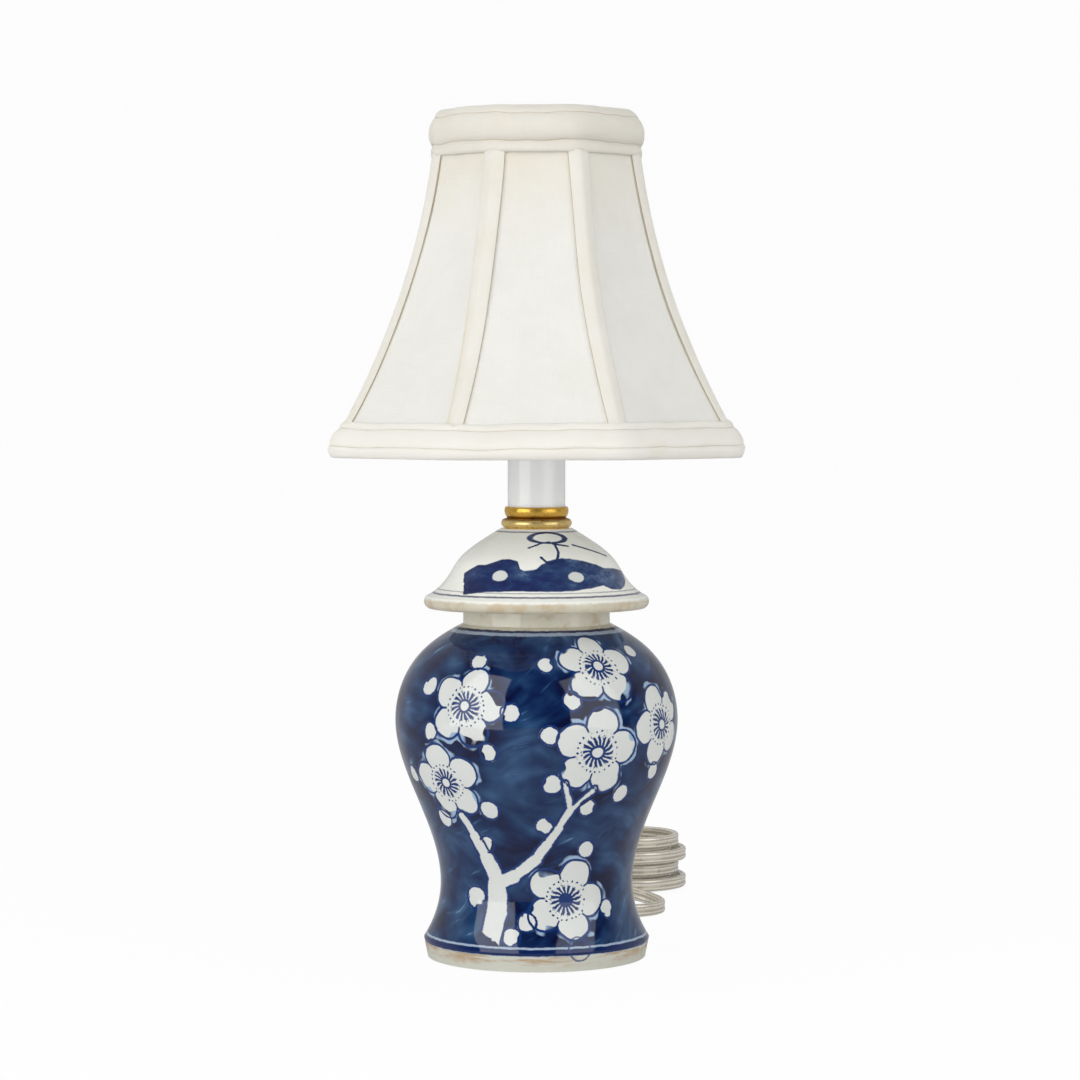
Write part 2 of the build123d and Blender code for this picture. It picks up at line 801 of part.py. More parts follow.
def one_side(offset, thick, low, high):
    """One side of the shade, square to +X, cut off along its two corners."""
    with BuildPart() as side:
        with BuildSketch(Plane.XZ):
            with BuildLine():
                cloth_outline(offset, thick, low, high)
            make_face()
        extrude(amount=side_half, both=True)
        with BuildSketch(Plane.XY.offset(low)):
            Polygon(
                (seam_shift, 0),
                (seam_shift + side_reach, side_half),
                (seam_shift + side_reach, -side_half),
                align=None,
            )
        extrude(amount=high - low, mode=Mode.INTERSECT)
    return side


# Shade spider: a hub on the rivet with arms out to the top ring
top_ring_height = panel_top - ring_wire_radius
top_ring_apothem = wire_apothem(top_ring_height, ring_wire_radius)
arm_start = spider_hub_radius - 2 * spider_arm_radius
arm_end = top_ring_apothem - ring_wire_radius - seat_gap
spider_middle = (spider_bottom + spider_top) / 2
arm_lean = (arm_end - arm_start, 0, top_ring_height - spider_middle)
with BuildPart() as spider_arm:
    with BuildLine():
        Line((arm_start, 0, spider_middle), (arm_end, 0, top_ring_height))
    with BuildSketch(Plane(origin=(arm_start, 0, spider_middle), z_dir=arm_lean)):
        Circle(spider_arm_radius)
    sweep()
with BuildPart() as shade_spider:
    with BuildSketch(Plane.XY.offset(spider_bottom)):
        Circle(spider_hub_radius)
    extrude(amount=spider_hub_height)
    with PolarLocations(0, spider_arms):
        add(spider_arm.part)
    with BuildSketch(Plane.XY.offset(spider_bottom)):
        Circle(rivet_radius + pivot_gap)
    extrude(amount=shade_above_hub, mode=Mode.SUBTRACT)
shade_spider.part.label = "shade_spider"
export_step(shade_spider.part, "parts/shade_spider.step")


# Shade rings: eight-sided wire hoops at the two edges
def wire_hoop(height, apothem):
    circumradius = apothem * corner_stretch
    corners = [
        (
            circumradius * math.cos(math.radians(corner_angle + side_angle * side)),
            circumradius * math.sin(math.radians(corner_angle + side_angle * side)),
            height,
        )
        for side in range(shade_sides)
    ]
    with BuildPart() as hoop:
        with BuildLine() as hoop_line:
            FilletPolyline(*corners, radius=ring_corner_radius, close=True)
        with BuildSketch(Plane(origin=hoop_line.line @ 0, z_dir=hoop_line.line % 0)):
            Circle(ring_wire_radius)
        sweep()
    return hoop


shade_top_ring = wire_hoop(top_ring_height, top_ring_apothem)
shade_top_ring.part.label = "shade_top_ring"
export_step(shade_top_ring.part, "parts/shade_top_ring.step")

bottom_ring_height = panel_bottom + ring_wire_radius
bottom_ring_apothem = wire_apothem(bottom_ring_height, ring_wire_radius)
shade_bottom_ring = wire_hoop(bottom_ring_height, bottom_ring_apothem)
shade_bottom_ring.part.label = "shade_bottom_ring"
export_step(shade_bottom_ring.part, "parts/shade_bottom_ring.step")


# Shade ribs: eight wires along the corners, between the rings, inside the panels
rib_bottom = bottom_ring_height + ring_wire_radius + seat_gap
rib_top = top_ring_height - ring_wire_radius - seat_gap
rib_points = [
    (wire_apothem(height, rib_radius) * corner_stretch, 0, height)
    for height in (rib_bottom, (rib_bottom + rib_top) / 2, rib_top)
]
with BuildPart() as one_rib:
    with BuildLine() as rib_line:
        ThreePointArc(*rib_points)
    with BuildSketch(Plane(origin=rib_points[0], z_dir=rib_line.line % 0)):
        Circle(rib_radius)
    sweep()
with BuildPart() as shade_ribs:
    with PolarLocations(0, shade_sides, start_angle=corner_angle):
        add(one_rib.part)
shade_ribs.part.label = "shade_ribs"
export_step(shade_ribs.part, "parts/shade_ribs.step")


# Shade panels: eight pieces of cloth, each stretched flat between two ribs
first_panel = one_side(-panel_thick, panel_thick, panel_bottom, panel_top)
for side in range(shade_sides):
    with BuildPart() as shade_panel:
        with PolarLocations(0, 1, start_angle=side * side_angle):
            add(first_panel.part)
    shade_panel.part.label = f"shade_panel_{side + 1}"
    export_step(shade_panel.part, f"parts/shade_panel_{side + 1}.step")


# Shade lining: eight gores inside the ribs
lining_low = rib_bottom + ring_wire_radius
lining_high = rib_top - ring_wire_radius
lining_outside = wire_apothem(lining_low, 2 * rib_radius + cloth_gap)
lining_offset = lining_outside - lining_thick - apothem_at(lining_low)
lining_gore = one_side(lining_offset, lining_thick, lining_low, lining_high)
with BuildPart() as shade_lining:
    with PolarLocations(0, shade_sides):
        add(lining_gore.part)
shade_lining.part.label = "shade_lining"
export_step(shade_lining.part, "parts/shade_lining.step")


# Shade bands: tape folded over each corner, wider at the top, between the two trims
band_bottom = shade_bottom + bottom_trim_height + seat_gap
band_top = shade_top - top_trim_height - seat_gap
corner_line = (math.cos(math.radians(corner_angle)), math.sin(math.radians(corner_angle)), 0)
across_corner = (-corner_line[1], corner_line[0], 0)
corner_plane = Plane(origin=(0, 0, 0), x_dir=across_corner, z_dir=corner_line)
with BuildPart() as first_band:
    with BuildSketch(Plane.XZ):
        with BuildLine():
            cloth_outline(cloth_gap, band_thick, band_bottom, band_top)
        make_face()
    extrude(amount=-side_half)
    with BuildSketch(Plane.XY.offset(band_bottom)):
        Polygon((0, 0), (side_reach, 0), (side_reach, side_half), align=None)
    extrude(amount=band_top - band_bottom, mode=Mode.INTERSECT)
    mirror(first_band.part, about=Plane(origin=(0, 0, 0), z_dir=across_corner))
    with BuildSketch(corner_plane):
        Polygon(
            (-band_bottom_width / 2, band_bottom),
            (band_bottom_width / 2, band_bottom),
            (band_top_width / 2, band_top),
            (-band_top_width / 2, band_top),
            align=None,
        )
    extrude(amount=side_reach, mode=Mode.INTERSECT)
for side in range(shade_sides):
    with BuildPart() as shade_band:
        with PolarLocations(0, 1, start_angle=side * side_angle):
            add(first_band.part)
    shade_band.part.label = f"shade_band_{side + 1}"
    export_step(shade_band.part, f"parts/shade_band_{side + 1}.step")


# Trims: padded tape round the two edges, as a stack of eight-sided sections. Each section is given
# by how far it stands above the trim's lower edge and how proud it is of the shade's side.
def sections(bottom, steps):
    return [(bottom + rise, apothem_at(bottom + rise) + proud) for rise, proud in steps]


tape_proud = band_thick + 2 * cloth_gap
bottom_trim_steps = [
    (0, -3.3),
    (1.8, -0.5),
    (4.5, 1.7),
    (8.0, 2.1),
    (11.5, 1.8),
    (bottom_trim_height, tape_proud),
]
bottom_trim_inside = [
    (panel_inset_bottom - seat_gap, cloth_gap),
    (bottom_trim_height + seat_gap, cloth_gap),
]
with BuildPart() as bottom_trim:
    for height, apothem in sections(shade_bottom, bottom_trim_steps):
        with BuildSketch(Plane.XY.offset(height)):
            RegularPolygon(apothem, shade_sides, major_radius=False, rotation=corner_angle)
    loft(ruled=True)
    for height, apothem in sections(shade_bottom, bottom_trim_inside):
        with BuildSketch(Plane.XY.offset(height)):
            RegularPolygon(apothem, shade_sides, major_radius=False, rotation=corner_angle)
    loft(ruled=True, mode=Mode.SUBTRACT)
    with BuildSketch(Plane.XY.offset(shade_bottom)):
        RegularPolygon(
            panel_bottom_apothem - trim_lip, shade_sides, major_radius=False, rotation=corner_angle
        )
    extrude(amount=panel_inset_bottom, mode=Mode.SUBTRACT)
bottom_trim.part.label = "bottom_trim"
export_step(bottom_trim.part, "parts/bottom_trim.step")

top_trim_bottom = shade_top - top_trim_height
top_trim_steps = [
    (0, tape_proud),
    (4.5, 0.9),
    (6.0, 1.6),
    (8.5, 2.8),
    (10.5, 3.0),
    (13.5, 1.8),
    (16.6, -0.5),
    (top_trim_height, -2.0),
]
top_trim_inside = [(-seat_gap, cloth_gap), (top_trim_height - panel_inset_top + seat_gap, 2 * cloth_gap)]
with BuildPart() as top_trim:
    for height, apothem in sections(top_trim_bottom, top_trim_steps):
        with BuildSketch(Plane.XY.offset(height)):
            RegularPolygon(apothem, shade_sides, major_radius=False, rotation=corner_angle)
    loft(ruled=True)
    for height, apothem in sections(top_trim_bottom, top_trim_inside):
        with BuildSketch(Plane.XY.offset(height)):
            RegularPolygon(apothem, shade_sides, major_radius=False, rotation=corner_angle)
    loft(ruled=True, mode=Mode.SUBTRACT)
    with BuildSketch(Plane.XY.offset(panel_top)):
        RegularPolygon(
            panel_top_apothem - trim_lip, shade_sides, major_radius=False, rotation=corner_angle
        )
    extrude(amount=2 * panel_inset_top, mode=Mode.SUBTRACT)
top_trim.part.label = "top_trim"
export_step(top_trim.part, "parts/top_trim.step")


# Cord: straight runs joined by arcs, each as large as its two runs allow
def bend_radii(points):
    """The radius at each inner point of a route, and the route as vectors."""
    route = [Vector(*point) for point in points]
    radii = []
    for before, corner, after in zip(route, route[1:], route[2:]):
        arriving = corner - before
        leaving = after - corner
        half_turn = math.radians(arriving.get_angle(leaving)) / 2
        radii.append(0.45 * min(arriving.length, leaving.length) / math.tan(half_turn))
    return route, radii


def cord_run(name, points):
    """A stretch of cord along a route, printed with its bends and its volume against its length."""
    route, radii = bend_radii(points)
    with BuildPart() as run:
        with BuildLine() as line:
            FilletPolyline(*route, radius=radii)
        with BuildSketch(Plane(origin=route[0], z_dir=route[1] - route[0])):
            Circle(cord_radius)
        sweep()
    length = sum(edge.length for edge in line.edges())
    share = run.part.volume / (math.pi * cord_radius**2 * length)
    print(name, "radii", [round(radius, 1) for radius in radii])
    print(name, "length", round(length, 1), "fill", round(share, 4))
    return run


switch_x, switch_y = switch_centre
switch_axis = switch_height / 2
switch_right = switch_x + switch_length / 2
switch_left = switch_x - switch_length / 2

# Lead: out of the bushing, down to the table, round a loop at the right and into the switch
lead_points = [
    (0, bushing_tip + joint_gap, cord_hole_height),
    (0, 66, 27),
    (3, 76, 21),
    (11, 84, 12.5),
    (23, 87, 5.2),
    (35.5, 86, 2.7),
    (47, 91, 2.7),
    (52, 102, 2.7),
    (47.5, 113, 3.6),
    (37, 117.6, 6),
    (switch_right - cord_entry, switch_y, switch_axis),
]
cord_lead = cord_run("cord_lead", lead_points)
cord_lead.part.label = "cord_lead"
export_step(cord_lead.part, "parts/cord_lead.step")


# Switch: a moulded base and cover, two screws, and a thumb wheel on a post in the base
def switch_outline(shrink):
    with Locations((switch_x, switch_y)):
        RectangleRounded(
            switch_length - 2 * shrink, switch_width - 2 * shrink, switch_corner - shrink
        )


wheel_y = switch_y + wheel_offset
screw_y = switch_y - screw_setback
wheel_bottom = switch_axis - wheel_thick / 2
wall_from_wheel = switch_width / 2 - switch_wall - wheel_offset
slot_length = 2 * math.sqrt(wheel_radius**2 - wall_from_wheel**2) + 4 * wheel_gap
cover_inside = switch_height - switch_wall


def at_screws():
    return [(switch_x + side * screw_spacing / 2, screw_y) for side in (-1, 1)]


# What both halves of the switch have cut out of them: the wheel's slot in the back wall, and a hole
# for the cord in each end wall
with BuildPart() as switch_openings:
    with BuildSketch(Plane.XY.offset(wheel_bottom - wheel_gap)):
        with Locations((switch_x, switch_y + switch_width / 2)):
            Rectangle(slot_length, 2.5 * switch_wall)
    extrude(amount=wheel_thick + 2 * wheel_gap)
    for end in (switch_left, switch_right):
        with BuildSketch(Plane(origin=(end, switch_y, switch_axis), z_dir=(1, 0, 0))):
            Circle(cord_radius + joint_gap)
        extrude(amount=1.5 * switch_wall, both=True)


with BuildPart() as switch_base:
    with BuildSketch():
        switch_outline(0)
    extrude(amount=switch_axis)
    with BuildSketch(Plane.XY.offset(switch_wall)):
        switch_outline(switch_wall)
    extrude(amount=switch_axis, mode=Mode.SUBTRACT)
    with BuildSketch(Plane.XY.offset(switch_wall)):
        with Locations(*at_screws()):
            Circle(post_radius)
            Circle(screw_radius + thread_gap, mode=Mode.SUBTRACT)
    extrude(amount=switch_axis - switch_wall)
    with BuildSketch(Plane.XY.offset(switch_wall)):
        with Locations((switch_x, wheel_y)):
            Circle(axle_shoulder_radius)
    extrude(amount=wheel_bottom - wheel_gap - switch_wall)
    with BuildSketch(Plane.XY.offset(switch_wall)):
        with Locations((switch_x, wheel_y)):
            Circle(axle_radius)
    extrude(amount=cover_inside - wheel_gap - switch_wall)
    add(switch_openings.part, mode=Mode.SUBTRACT)
switch_base.part.label = "switch_base"
export_step(switch_base.part, "parts/switch_base.step")

with BuildPart() as switch_cover:
    with BuildSketch(Plane.XY.offset(switch_axis)):
        switch_outline(0)
    extrude(amount=switch_height - switch_axis)
    fillet(switch_cover.faces().sort_by(Axis.Z)[-1].edges(), switch_wall)
    with BuildSketch(Plane.XY.offset(switch_axis)):
        switch_outline(switch_wall)
    extrude(amount=cover_inside - switch_axis, mode=Mode.SUBTRACT)
    with BuildSketch(Plane.XY.offset(switch_axis)):
        with Locations(*at_screws()):
            Circle(post_radius)
    extrude(amount=cover_inside - switch_axis)
    with BuildSketch(Plane.XY.offset(switch_axis)):
        with Locations(*at_screws()):
            Circle(screw_radius + seat_gap)
    extrude(amount=switch_height, mode=Mode.SUBTRACT)
    with BuildSketch(Plane.XY.offset(switch_height - screw_head_height - seat_gap)):
        with Locations(*at_screws()):
            Circle(screw_head_radius + seat_gap)
    extrude(amount=switch_height, mode=Mode.SUBTRACT)
    add(switch_openings.part, mode=Mode.SUBTRACT)
switch_cover.part.label = "switch_cover"
export_step(switch_cover.part, "parts/switch_cover.step")

# Thumb wheel: knurled by a ring of notches, turning on the post
knurl_radius = math.pi * wheel_radius / wheel_knurls / 2
with BuildPart() as switch_wheel:
    with BuildSketch(Plane.XY.offset(wheel_bottom)):
        with Locations((switch_x, wheel_y)):
            Circle(wheel_radius)
            Circle(axle_radius + pivot_gap, mode=Mode.SUBTRACT)
            with PolarLocations(wheel_radius, wheel_knurls):
                Circle(knurl_radius, mode=Mode.SUBTRACT)
    extrude(amount=wheel_thick)
switch_wheel.part.label = "switch_wheel"
export_step(switch_wheel.part, "parts/switch_wheel.step")

# Screws: down through the cover's posts into the base's posts
screw_seat = switch_height - screw_head_height - seat_gap
screw_slot = screw_head_height / 2
with BuildPart() as switch_screws:
    with BuildSketch(Plane.XY.offset(screw_seat)):
        with Locations(*at_screws()):
            Circle(screw_head_radius)
    extrude(amount=screw_head_height)
    with BuildSketch(Plane.XY.offset(switch_wall + seat_gap)):
        with Locations(*at_screws()):
            Circle(screw_radius)
    extrude(amount=screw_seat - switch_wall - seat_gap)
    with BuildSketch(Plane.XY.offset(switch_height - seat_gap - screw_slot)):
        with Locations(*at_screws()):
            Rectangle(2 * screw_head_radius, screw_slot)
    extrude(amount=screw_slot, mode=Mode.SUBTRACT)
switch_screws.part.label = "switch_screws"
export_step(switch_screws.part, "parts/switch_screws.step")


# Link: out of the switch, round a bend at the left and into the hank
hank_outer_radius = hank_inner_radius + hank_step
hank_entry_y = hank_centre_y - hank_outer_radius - hank_step / 2
hank_start_x = hank_left_x - cord_diameter - joint_gap
link_points = [
    (switch_left + cord_entry, switch_y, switch_axis),
    (-18.5, 118, 6.4),
    (-26, 118.6, 5),
    (-33.6, 123.4, 3.8),
    (-36.8, 132, 3.5),
    (-34, 141, 3.5),
    (-26.5, 146.2, 3.5),
    (hank_start_x, hank_entry_y, hank_low_z),
]
cord_link = cord_run("cord_link", link_points)
cord_link.part.label = "cord_link"
export_step(cord_link.part, "parts/cord_link.step")


# Hank: one unbroken tube. Each half turn is an end loop, and each layer has three of them: the
# first layer spirals in, the next out, and so on, with a climb along the run between two layers.
# Every run is drawn in alike at the waist.
def biarc(start, start_heading, end, end_heading):
    """Two arcs that join smoothly, from one point and heading to another."""
    chord = end - start
    along = chord.dot(start_heading + end_heading)
    spread = 2 * (1 - start_heading.dot(end_heading))
    if spread < 1e-9:
        arm = chord.dot(chord) / (4 * chord.dot(end_heading))
    else:
        arm = (math.sqrt(along**2 + spread * chord.dot(chord)) - along) / spread
    first_corner = start + start_heading * arm
    second_corner = end - end_heading * arm
    joint = (first_corner + second_corner) / 2
    TangentArc(start, joint, tangent=start_heading)
    TangentArc(joint, end, tangent=second_corner - first_corner)


loops_per_layer = 3
loop_count = loops_per_layer * hank_layers
hank_middle_x = (hank_left_x + hank_right_x) / 2


def loop_radius(loop):
    """The end loop's radius: half a step smaller at each loop on the way in, larger on the way out."""
    layer, place = divmod(loop, loops_per_layer)
    inward = place if layer % 2 == 0 else loops_per_layer - 1 - place
    return hank_outer_radius - inward * hank_step / 2


def loop_height(loop):
    return hank_low_z + hank_layer_pitch * (loop // loops_per_layer)


def hank_knots():
    """Points on the hank with the cord's heading at each, from its start to its end."""
    side = 1
    offset = hank_outer_radius + hank_step / 2
    height = hank_low_z
    knots = [(Vector(hank_left_x, hank_centre_y - offset, height), Vector(1, 0, 0))]
    for loop in range(loop_count):
        radius = loop_radius(loop)
        level = loop_height(loop)
        end_x = hank_right_x if side > 0 else hank_left_x
        climb = 1.5 * (level - height) / (hank_right_x - hank_left_x)
        waist_y = hank_centre_y - side * ((offset + radius) / 2 - hank_waist)
        waist = Vector(hank_middle_x, waist_y, (height + level) / 2)
        knots.append((waist, Vector(side, 0, climb).normalized()))
        knots.append((Vector(end_x, hank_centre_y - side * radius, level), Vector(side, 0, 0)))
        knots.append((Vector(end_x + side * radius, hank_centre_y, level), Vector(0, side, 0)))
        knots.append((Vector(end_x, hank_centre_y + side * radius, level), Vector(-side, 0, 0)))
        side = -side
        offset = radius
        height = level
    return knots


def least_gap(points, spacing):
    """The least gap between two stretches of one tube, from points a fixed way apart along it."""
    skip = int(3 * cord_diameter / spacing)
    least = math.inf
    for index, point in enumerate(points):
        for other in points[index + skip:]:
            least = min(least, (point - other).length)
    return least - cord_diameter


knots = hank_knots()
hank_start = knots[0][0] - Vector(cord_diameter, 0, 0)
hank_end = knots[-1][0] + Vector(cord_diameter, 0, 0)
with BuildPart() as cord_hank:
    with BuildLine() as hank_line:
        Line(hank_start, knots[0][0])
        for (start, start_heading), (end, end_heading) in zip(knots, knots[1:]):
            biarc(start, start_heading, end, end_heading)
        Line(knots[-1][0], hank_end)
    with BuildSketch(Plane(origin=hank_start, z_dir=(1, 0, 0))):
        Circle(cord_radius)
    sweep()
cord_hank.part.label = "cord_hank"
export_step(cord_hank.part, "parts/cord_hank.step")

sample_spacing = 1.0
hank_wire = Wire(hank_line.edges())
sample_count = int(hank_wire.length / sample_spacing)
hank_samples = [hank_wire.position_at(index / sample_count) for index in range(sample_count + 1)]
hank_fill = cord_hank.part.volume / (math.pi * cord_radius**2 * hank_wire.length)
print("cord_hank length", round(hank_wire.length, 1), "fill", round(hank_fill, 4))
print("cord_hank least gap to itself", round(least_gap(hank_samples, sample_spacing), 2))


# Hank tie: a flat band round the waist
hank_top = hank_low_z + hank_layer_pitch * (hank_layers - 1) + cord_radius
tie_half_width = hank_outer_radius + hank_step / 4 - hank_waist + cord_radius + seat_gap
tie_inside_height = hank_top - hank_low_z + cord_radius + 2 * tie_slack
tie_middle_z = (hank_top + hank_low_z - cord_radius) / 2
tie_top = hank_top + tie_slack + tie_thick
tie_plane = Plane(
    origin=(hank_middle_x - tie_width / 2, hank_centre_y, tie_middle_z), x_dir=(0, 1, 0), z_dir=(1, 0, 0)
)
with BuildPart() as hank_tie:
    with BuildSketch(tie_plane):
        RectangleRounded(
            2 * (tie_half_width + tie_thick), tie_inside_height + 2 * tie_thick, cord_radius + tie_thick
        )
        RectangleRounded(2 * tie_half_width, tie_inside_height, cord_radius, mode=Mode.SUBTRACT)
    extrude(amount=tie_width)
hank_tie.part.label = "hank_tie"
export_step(hank_tie.part, "parts/hank_tie.step")


# Tail: over the tie, round a bend on top of the hank and into the plug
plug_start = Vector(18, 187.6, tie_top + seat_gap + plug_thick / 2)
tail_points = [
    tuple(hank_end + Vector(joint_gap, 0, 0)),
    (0, 150.3, 22.4),
    (10, 153, 27.2),
    (20, 156.5, 29),
    (29, 158.5, 28.3),
    (37.2, 163.5, 27.2),
    (40.5, 172.5, 27),
    (37.5, 181.5, 27.6),
    (30.5, 186.6, 29.4),
    (24, 187.8, 30.7),
    tuple(plug_start + Vector(joint_gap, 0, 0)),
]
cord_tail = cord_run("cord_tail", tail_points)
cord_tail.part.label = "cord_tail"
export_step(cord_tail.part, "parts/cord_tail.step")


# Plug: a moulded body that swells from the cord to its face, and two flat blades
plug_face = plug_start.X - plug_length
plug_stations = [
    (0, plug_tail_width, plug_tail_width),
    (plug_grip_start, plug_grip_width, plug_grip_thick),
    (plug_length - plug_face_depth, plug_width, plug_thick),
    (plug_length, plug_width, plug_thick),
]
with BuildPart() as plug_body:
    for reach, width, thick in plug_stations:
        station = (plug_start.X - reach, plug_start.Y, plug_start.Z)
        with BuildSketch(Plane(origin=station, x_dir=(0, 1, 0), z_dir=(-1, 0, 0))):
            RectangleRounded(width, thick, plug_corner)
    loft(ruled=True)
plug_body.part.label = "plug_body"
export_step(plug_body.part, "parts/plug_body.step")

with BuildPart() as plug_blades:
    for side in (-1, 1):
        blade_y = plug_start.Y + side * blade_spacing / 2
        with BuildSketch(Plane.XZ.offset(-blade_y - blade_thick / 2)):
            with Locations((plug_face - blade_length / 2, plug_start.Z)):
                Rectangle(blade_length, blade_width)
            with Locations((plug_face - blade_length + 2 * blade_hole_radius, plug_start.Z)):
                Circle(blade_hole_radius, mode=Mode.SUBTRACT)
        extrude(amount=blade_thick)
plug_blades.part.label = "plug_blades"
export_step(plug_blades.part, "parts/plug_blades.step")
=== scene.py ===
import bmesh
import bpy
import math
import random
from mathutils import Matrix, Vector, noise


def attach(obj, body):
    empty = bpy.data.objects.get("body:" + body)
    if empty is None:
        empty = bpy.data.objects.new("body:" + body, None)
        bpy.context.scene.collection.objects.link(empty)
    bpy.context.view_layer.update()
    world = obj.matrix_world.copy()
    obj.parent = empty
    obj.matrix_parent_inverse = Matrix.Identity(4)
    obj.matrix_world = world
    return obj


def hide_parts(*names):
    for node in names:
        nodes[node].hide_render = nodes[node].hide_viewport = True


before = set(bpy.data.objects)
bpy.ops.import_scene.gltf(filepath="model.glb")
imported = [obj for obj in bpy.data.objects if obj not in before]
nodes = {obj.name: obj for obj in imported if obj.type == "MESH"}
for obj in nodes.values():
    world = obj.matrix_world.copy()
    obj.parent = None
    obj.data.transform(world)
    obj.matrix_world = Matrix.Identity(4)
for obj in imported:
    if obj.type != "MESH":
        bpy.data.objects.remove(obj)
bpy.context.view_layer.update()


# Jar body: thrown porcelain with a turned foot, painted in cobalt under a clear glaze with plum
# blossom left white on brushed blue. The painter outlines each flower first and washes the blue
# round it afterwards, so wash and outline never quite meet. The foot ring is left unglazed.
class Glaze:
    """A socket of a material, so that what is painted can be written as sums."""

    def __init__(self, socket):
        self.socket = socket

    def node(self, kind, sockets=(), output=0, stops=(), **settings):
        """A new node: its settings and stops first, then what feeds its sockets."""
        tree = self.socket.id_data
        made = tree.nodes.new("ShaderNode" + kind)
        for name, value in settings.items():
            setattr(made, name, value)
        for index, (place, colour) in enumerate(stops):
            if index > 1:
                made.color_ramp.elements.new(place)
            made.color_ramp.elements[index].position = place
            made.color_ramp.elements[index].color = colour
        for name, value in dict(sockets).items():
            if isinstance(value, Glaze):
                tree.links.new(value.socket, made.inputs[name])
            else:
                made.inputs[name].default_value = value
        return Glaze(made.outputs[output])

    def math(self, operation, first, second=0.0):
        return self.node("Math", {0: first, 1: second}, operation=operation)

    def __add__(self, other):
        return self.math("ADD", self, other)

    __radd__ = __add__

    def __sub__(self, other):
        return self.math("SUBTRACT", self, other)

    def __rsub__(self, other):
        return self.math("SUBTRACT", other, self)

    def __mul__(self, other):
        return self.math("MULTIPLY", self, other)

    __rmul__ = __mul__

    def __truediv__(self, other):
        return self.math("DIVIDE", self, other)

    def __rtruediv__(self, other):
        return self.math("DIVIDE", other, self)

    def __abs__(self):
        return self.math("ABSOLUTE", self)

    def least(self, other):
        return self.math("MINIMUM", self, other)

    def most(self, other):
        return self.math("MAXIMUM", self, other)

    def within(self, low, high):
        """0 at low and 1 at high, with a soft run between; low may be the larger."""
        return self.node(
            "MapRange", {0: self, 1: low, 2: high}, interpolation_type="SMOOTHSTEP"
        )

    def tint(self, under, over):
        """The colour under, covered by the colour over where this is 1."""
        return self.node("Mix", {0: self, 6: under, 7: over}, 2, data_type="RGBA")

    def part(self, axis):
        return self.node("SeparateXYZ", {0: self}, "XYZ".index(axis))

    def grain(self, scale, detail=2.0, rough=0.5):
        """Cloudy noise from 0 to 1."""
        return self.node(
            "TexNoise",
            {"Vector": self, "Scale": scale, "Detail": detail, "Roughness": rough},
        )

    def brushed(self, long, wide, turn=0.0):
        """These places in brush strokes so long and wide, laid at so many degrees to X."""
        return self.node(
            "Mapping",
            {"Vector": self, "Rotation": (0, 0, math.radians(turn)), "Scale": (long, wide, 1.0)},
            vector_type="TEXTURE",
        )

    def stretched(self, scale):
        """These places scaled along X, Y and Z."""
        return self.node("VectorMath", {0: self, 1: scale}, operation="MULTIPLY")

    def into(self, shader, name):
        self.socket.id_data.links.new(self.socket, shader.inputs[name])

    def dent(self, shader, depth, strength=1.0):
        """Raises the surface by this times depth, in metres."""
        raised = self.node(
            "Bump", {"Height": self, "Distance": depth, "Strength": strength}
        )
        raised.into(shader, "Normal")


def ink(red, green, blue):
    """A colour as a paint chart gives it, from 0 to 255, in the renderer's own scale."""
    shades = [value / 255 for value in (red, green, blue)]
    return tuple(
        v / 12.92 if v <= 0.04045 else ((v + 0.055) / 1.055) ** 2.4 for v in shades
    ) + (1.0,)


def finish_of(name, **settings):
    """A new material: itself, its shader, and the places on the piece in millimetres."""
    material = bpy.data.materials.new(name)
    material.use_nodes = True
    tree = material.node_tree
    shader = tree.nodes["Principled BSDF"]
    for key, value in settings.items():
        shader.inputs[key.replace("_", " ")].default_value = value
    metres = Glaze(tree.nodes.new("ShaderNodeTexCoord").outputs["Object"])
    place = metres.node("VectorMath", {0: metres, "Scale": 1000.0}, operation="SCALE")
    return material, shader, place


def dress(material, *names):
    """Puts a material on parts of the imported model."""
    for name in names:
        for slot in nodes[name].material_slots:
            slot.material = material


jar_side = (
    (0.0, 40.8), (7.0, 42.2), (14.6, 38.4), (23.5, 36.2), (40.0, 38.9), (57.1, 43.7), (74.0, 49.7),
    (89.6, 52.8), (97.0, 51.9), (104.0, 49.6), (113.0, 43.8), (119.8, 35.8), (124.6, 27.4),
)


def jar_wall(height):
    """The jar's radius at a height, and how far up the wall that is, both in millimetres."""
    climbed = 0.0
    for (low, start), (high, end) in zip(jar_side, jar_side[1:]):
        slope = (end - start) / (high - low)
        if height <= high:
            break
        climbed += (high - low) * math.hypot(1, slope)
    return start + slope * (height - low), climbed + (height - low) * math.hypot(1, slope)


def laid_at(painting, x, y, spin, across, along):
    """Places of the painting, stretched, with the spot x, y as their middle, and turned about it."""
    shift = (
        y * math.sin(spin) - x * math.cos(spin),
        -x * math.sin(spin) - y * math.cos(spin),
        0,
    )
    return painting.node(
        "Mapping",
        {"Vector": painting, "Location": shift, "Rotation": (0, 0, spin), "Scale": (across, along, 0)},
    )


def on_wall(painting, turn, height, size, tilt=0.0):
    """Places round a spot on the wall, in sizes of what is painted there."""
    radius, climbed = jar_wall(height)
    across, along = radius / size, 1 / size
    x, y = across * math.radians(turn), along * climbed
    return laid_at(painting, x, y, math.radians(tilt), across, along)


def length_of(vector):
    """How long a vector is, as a value."""
    return vector.node("VectorMath", {0: vector}, "Value", operation="LENGTH")


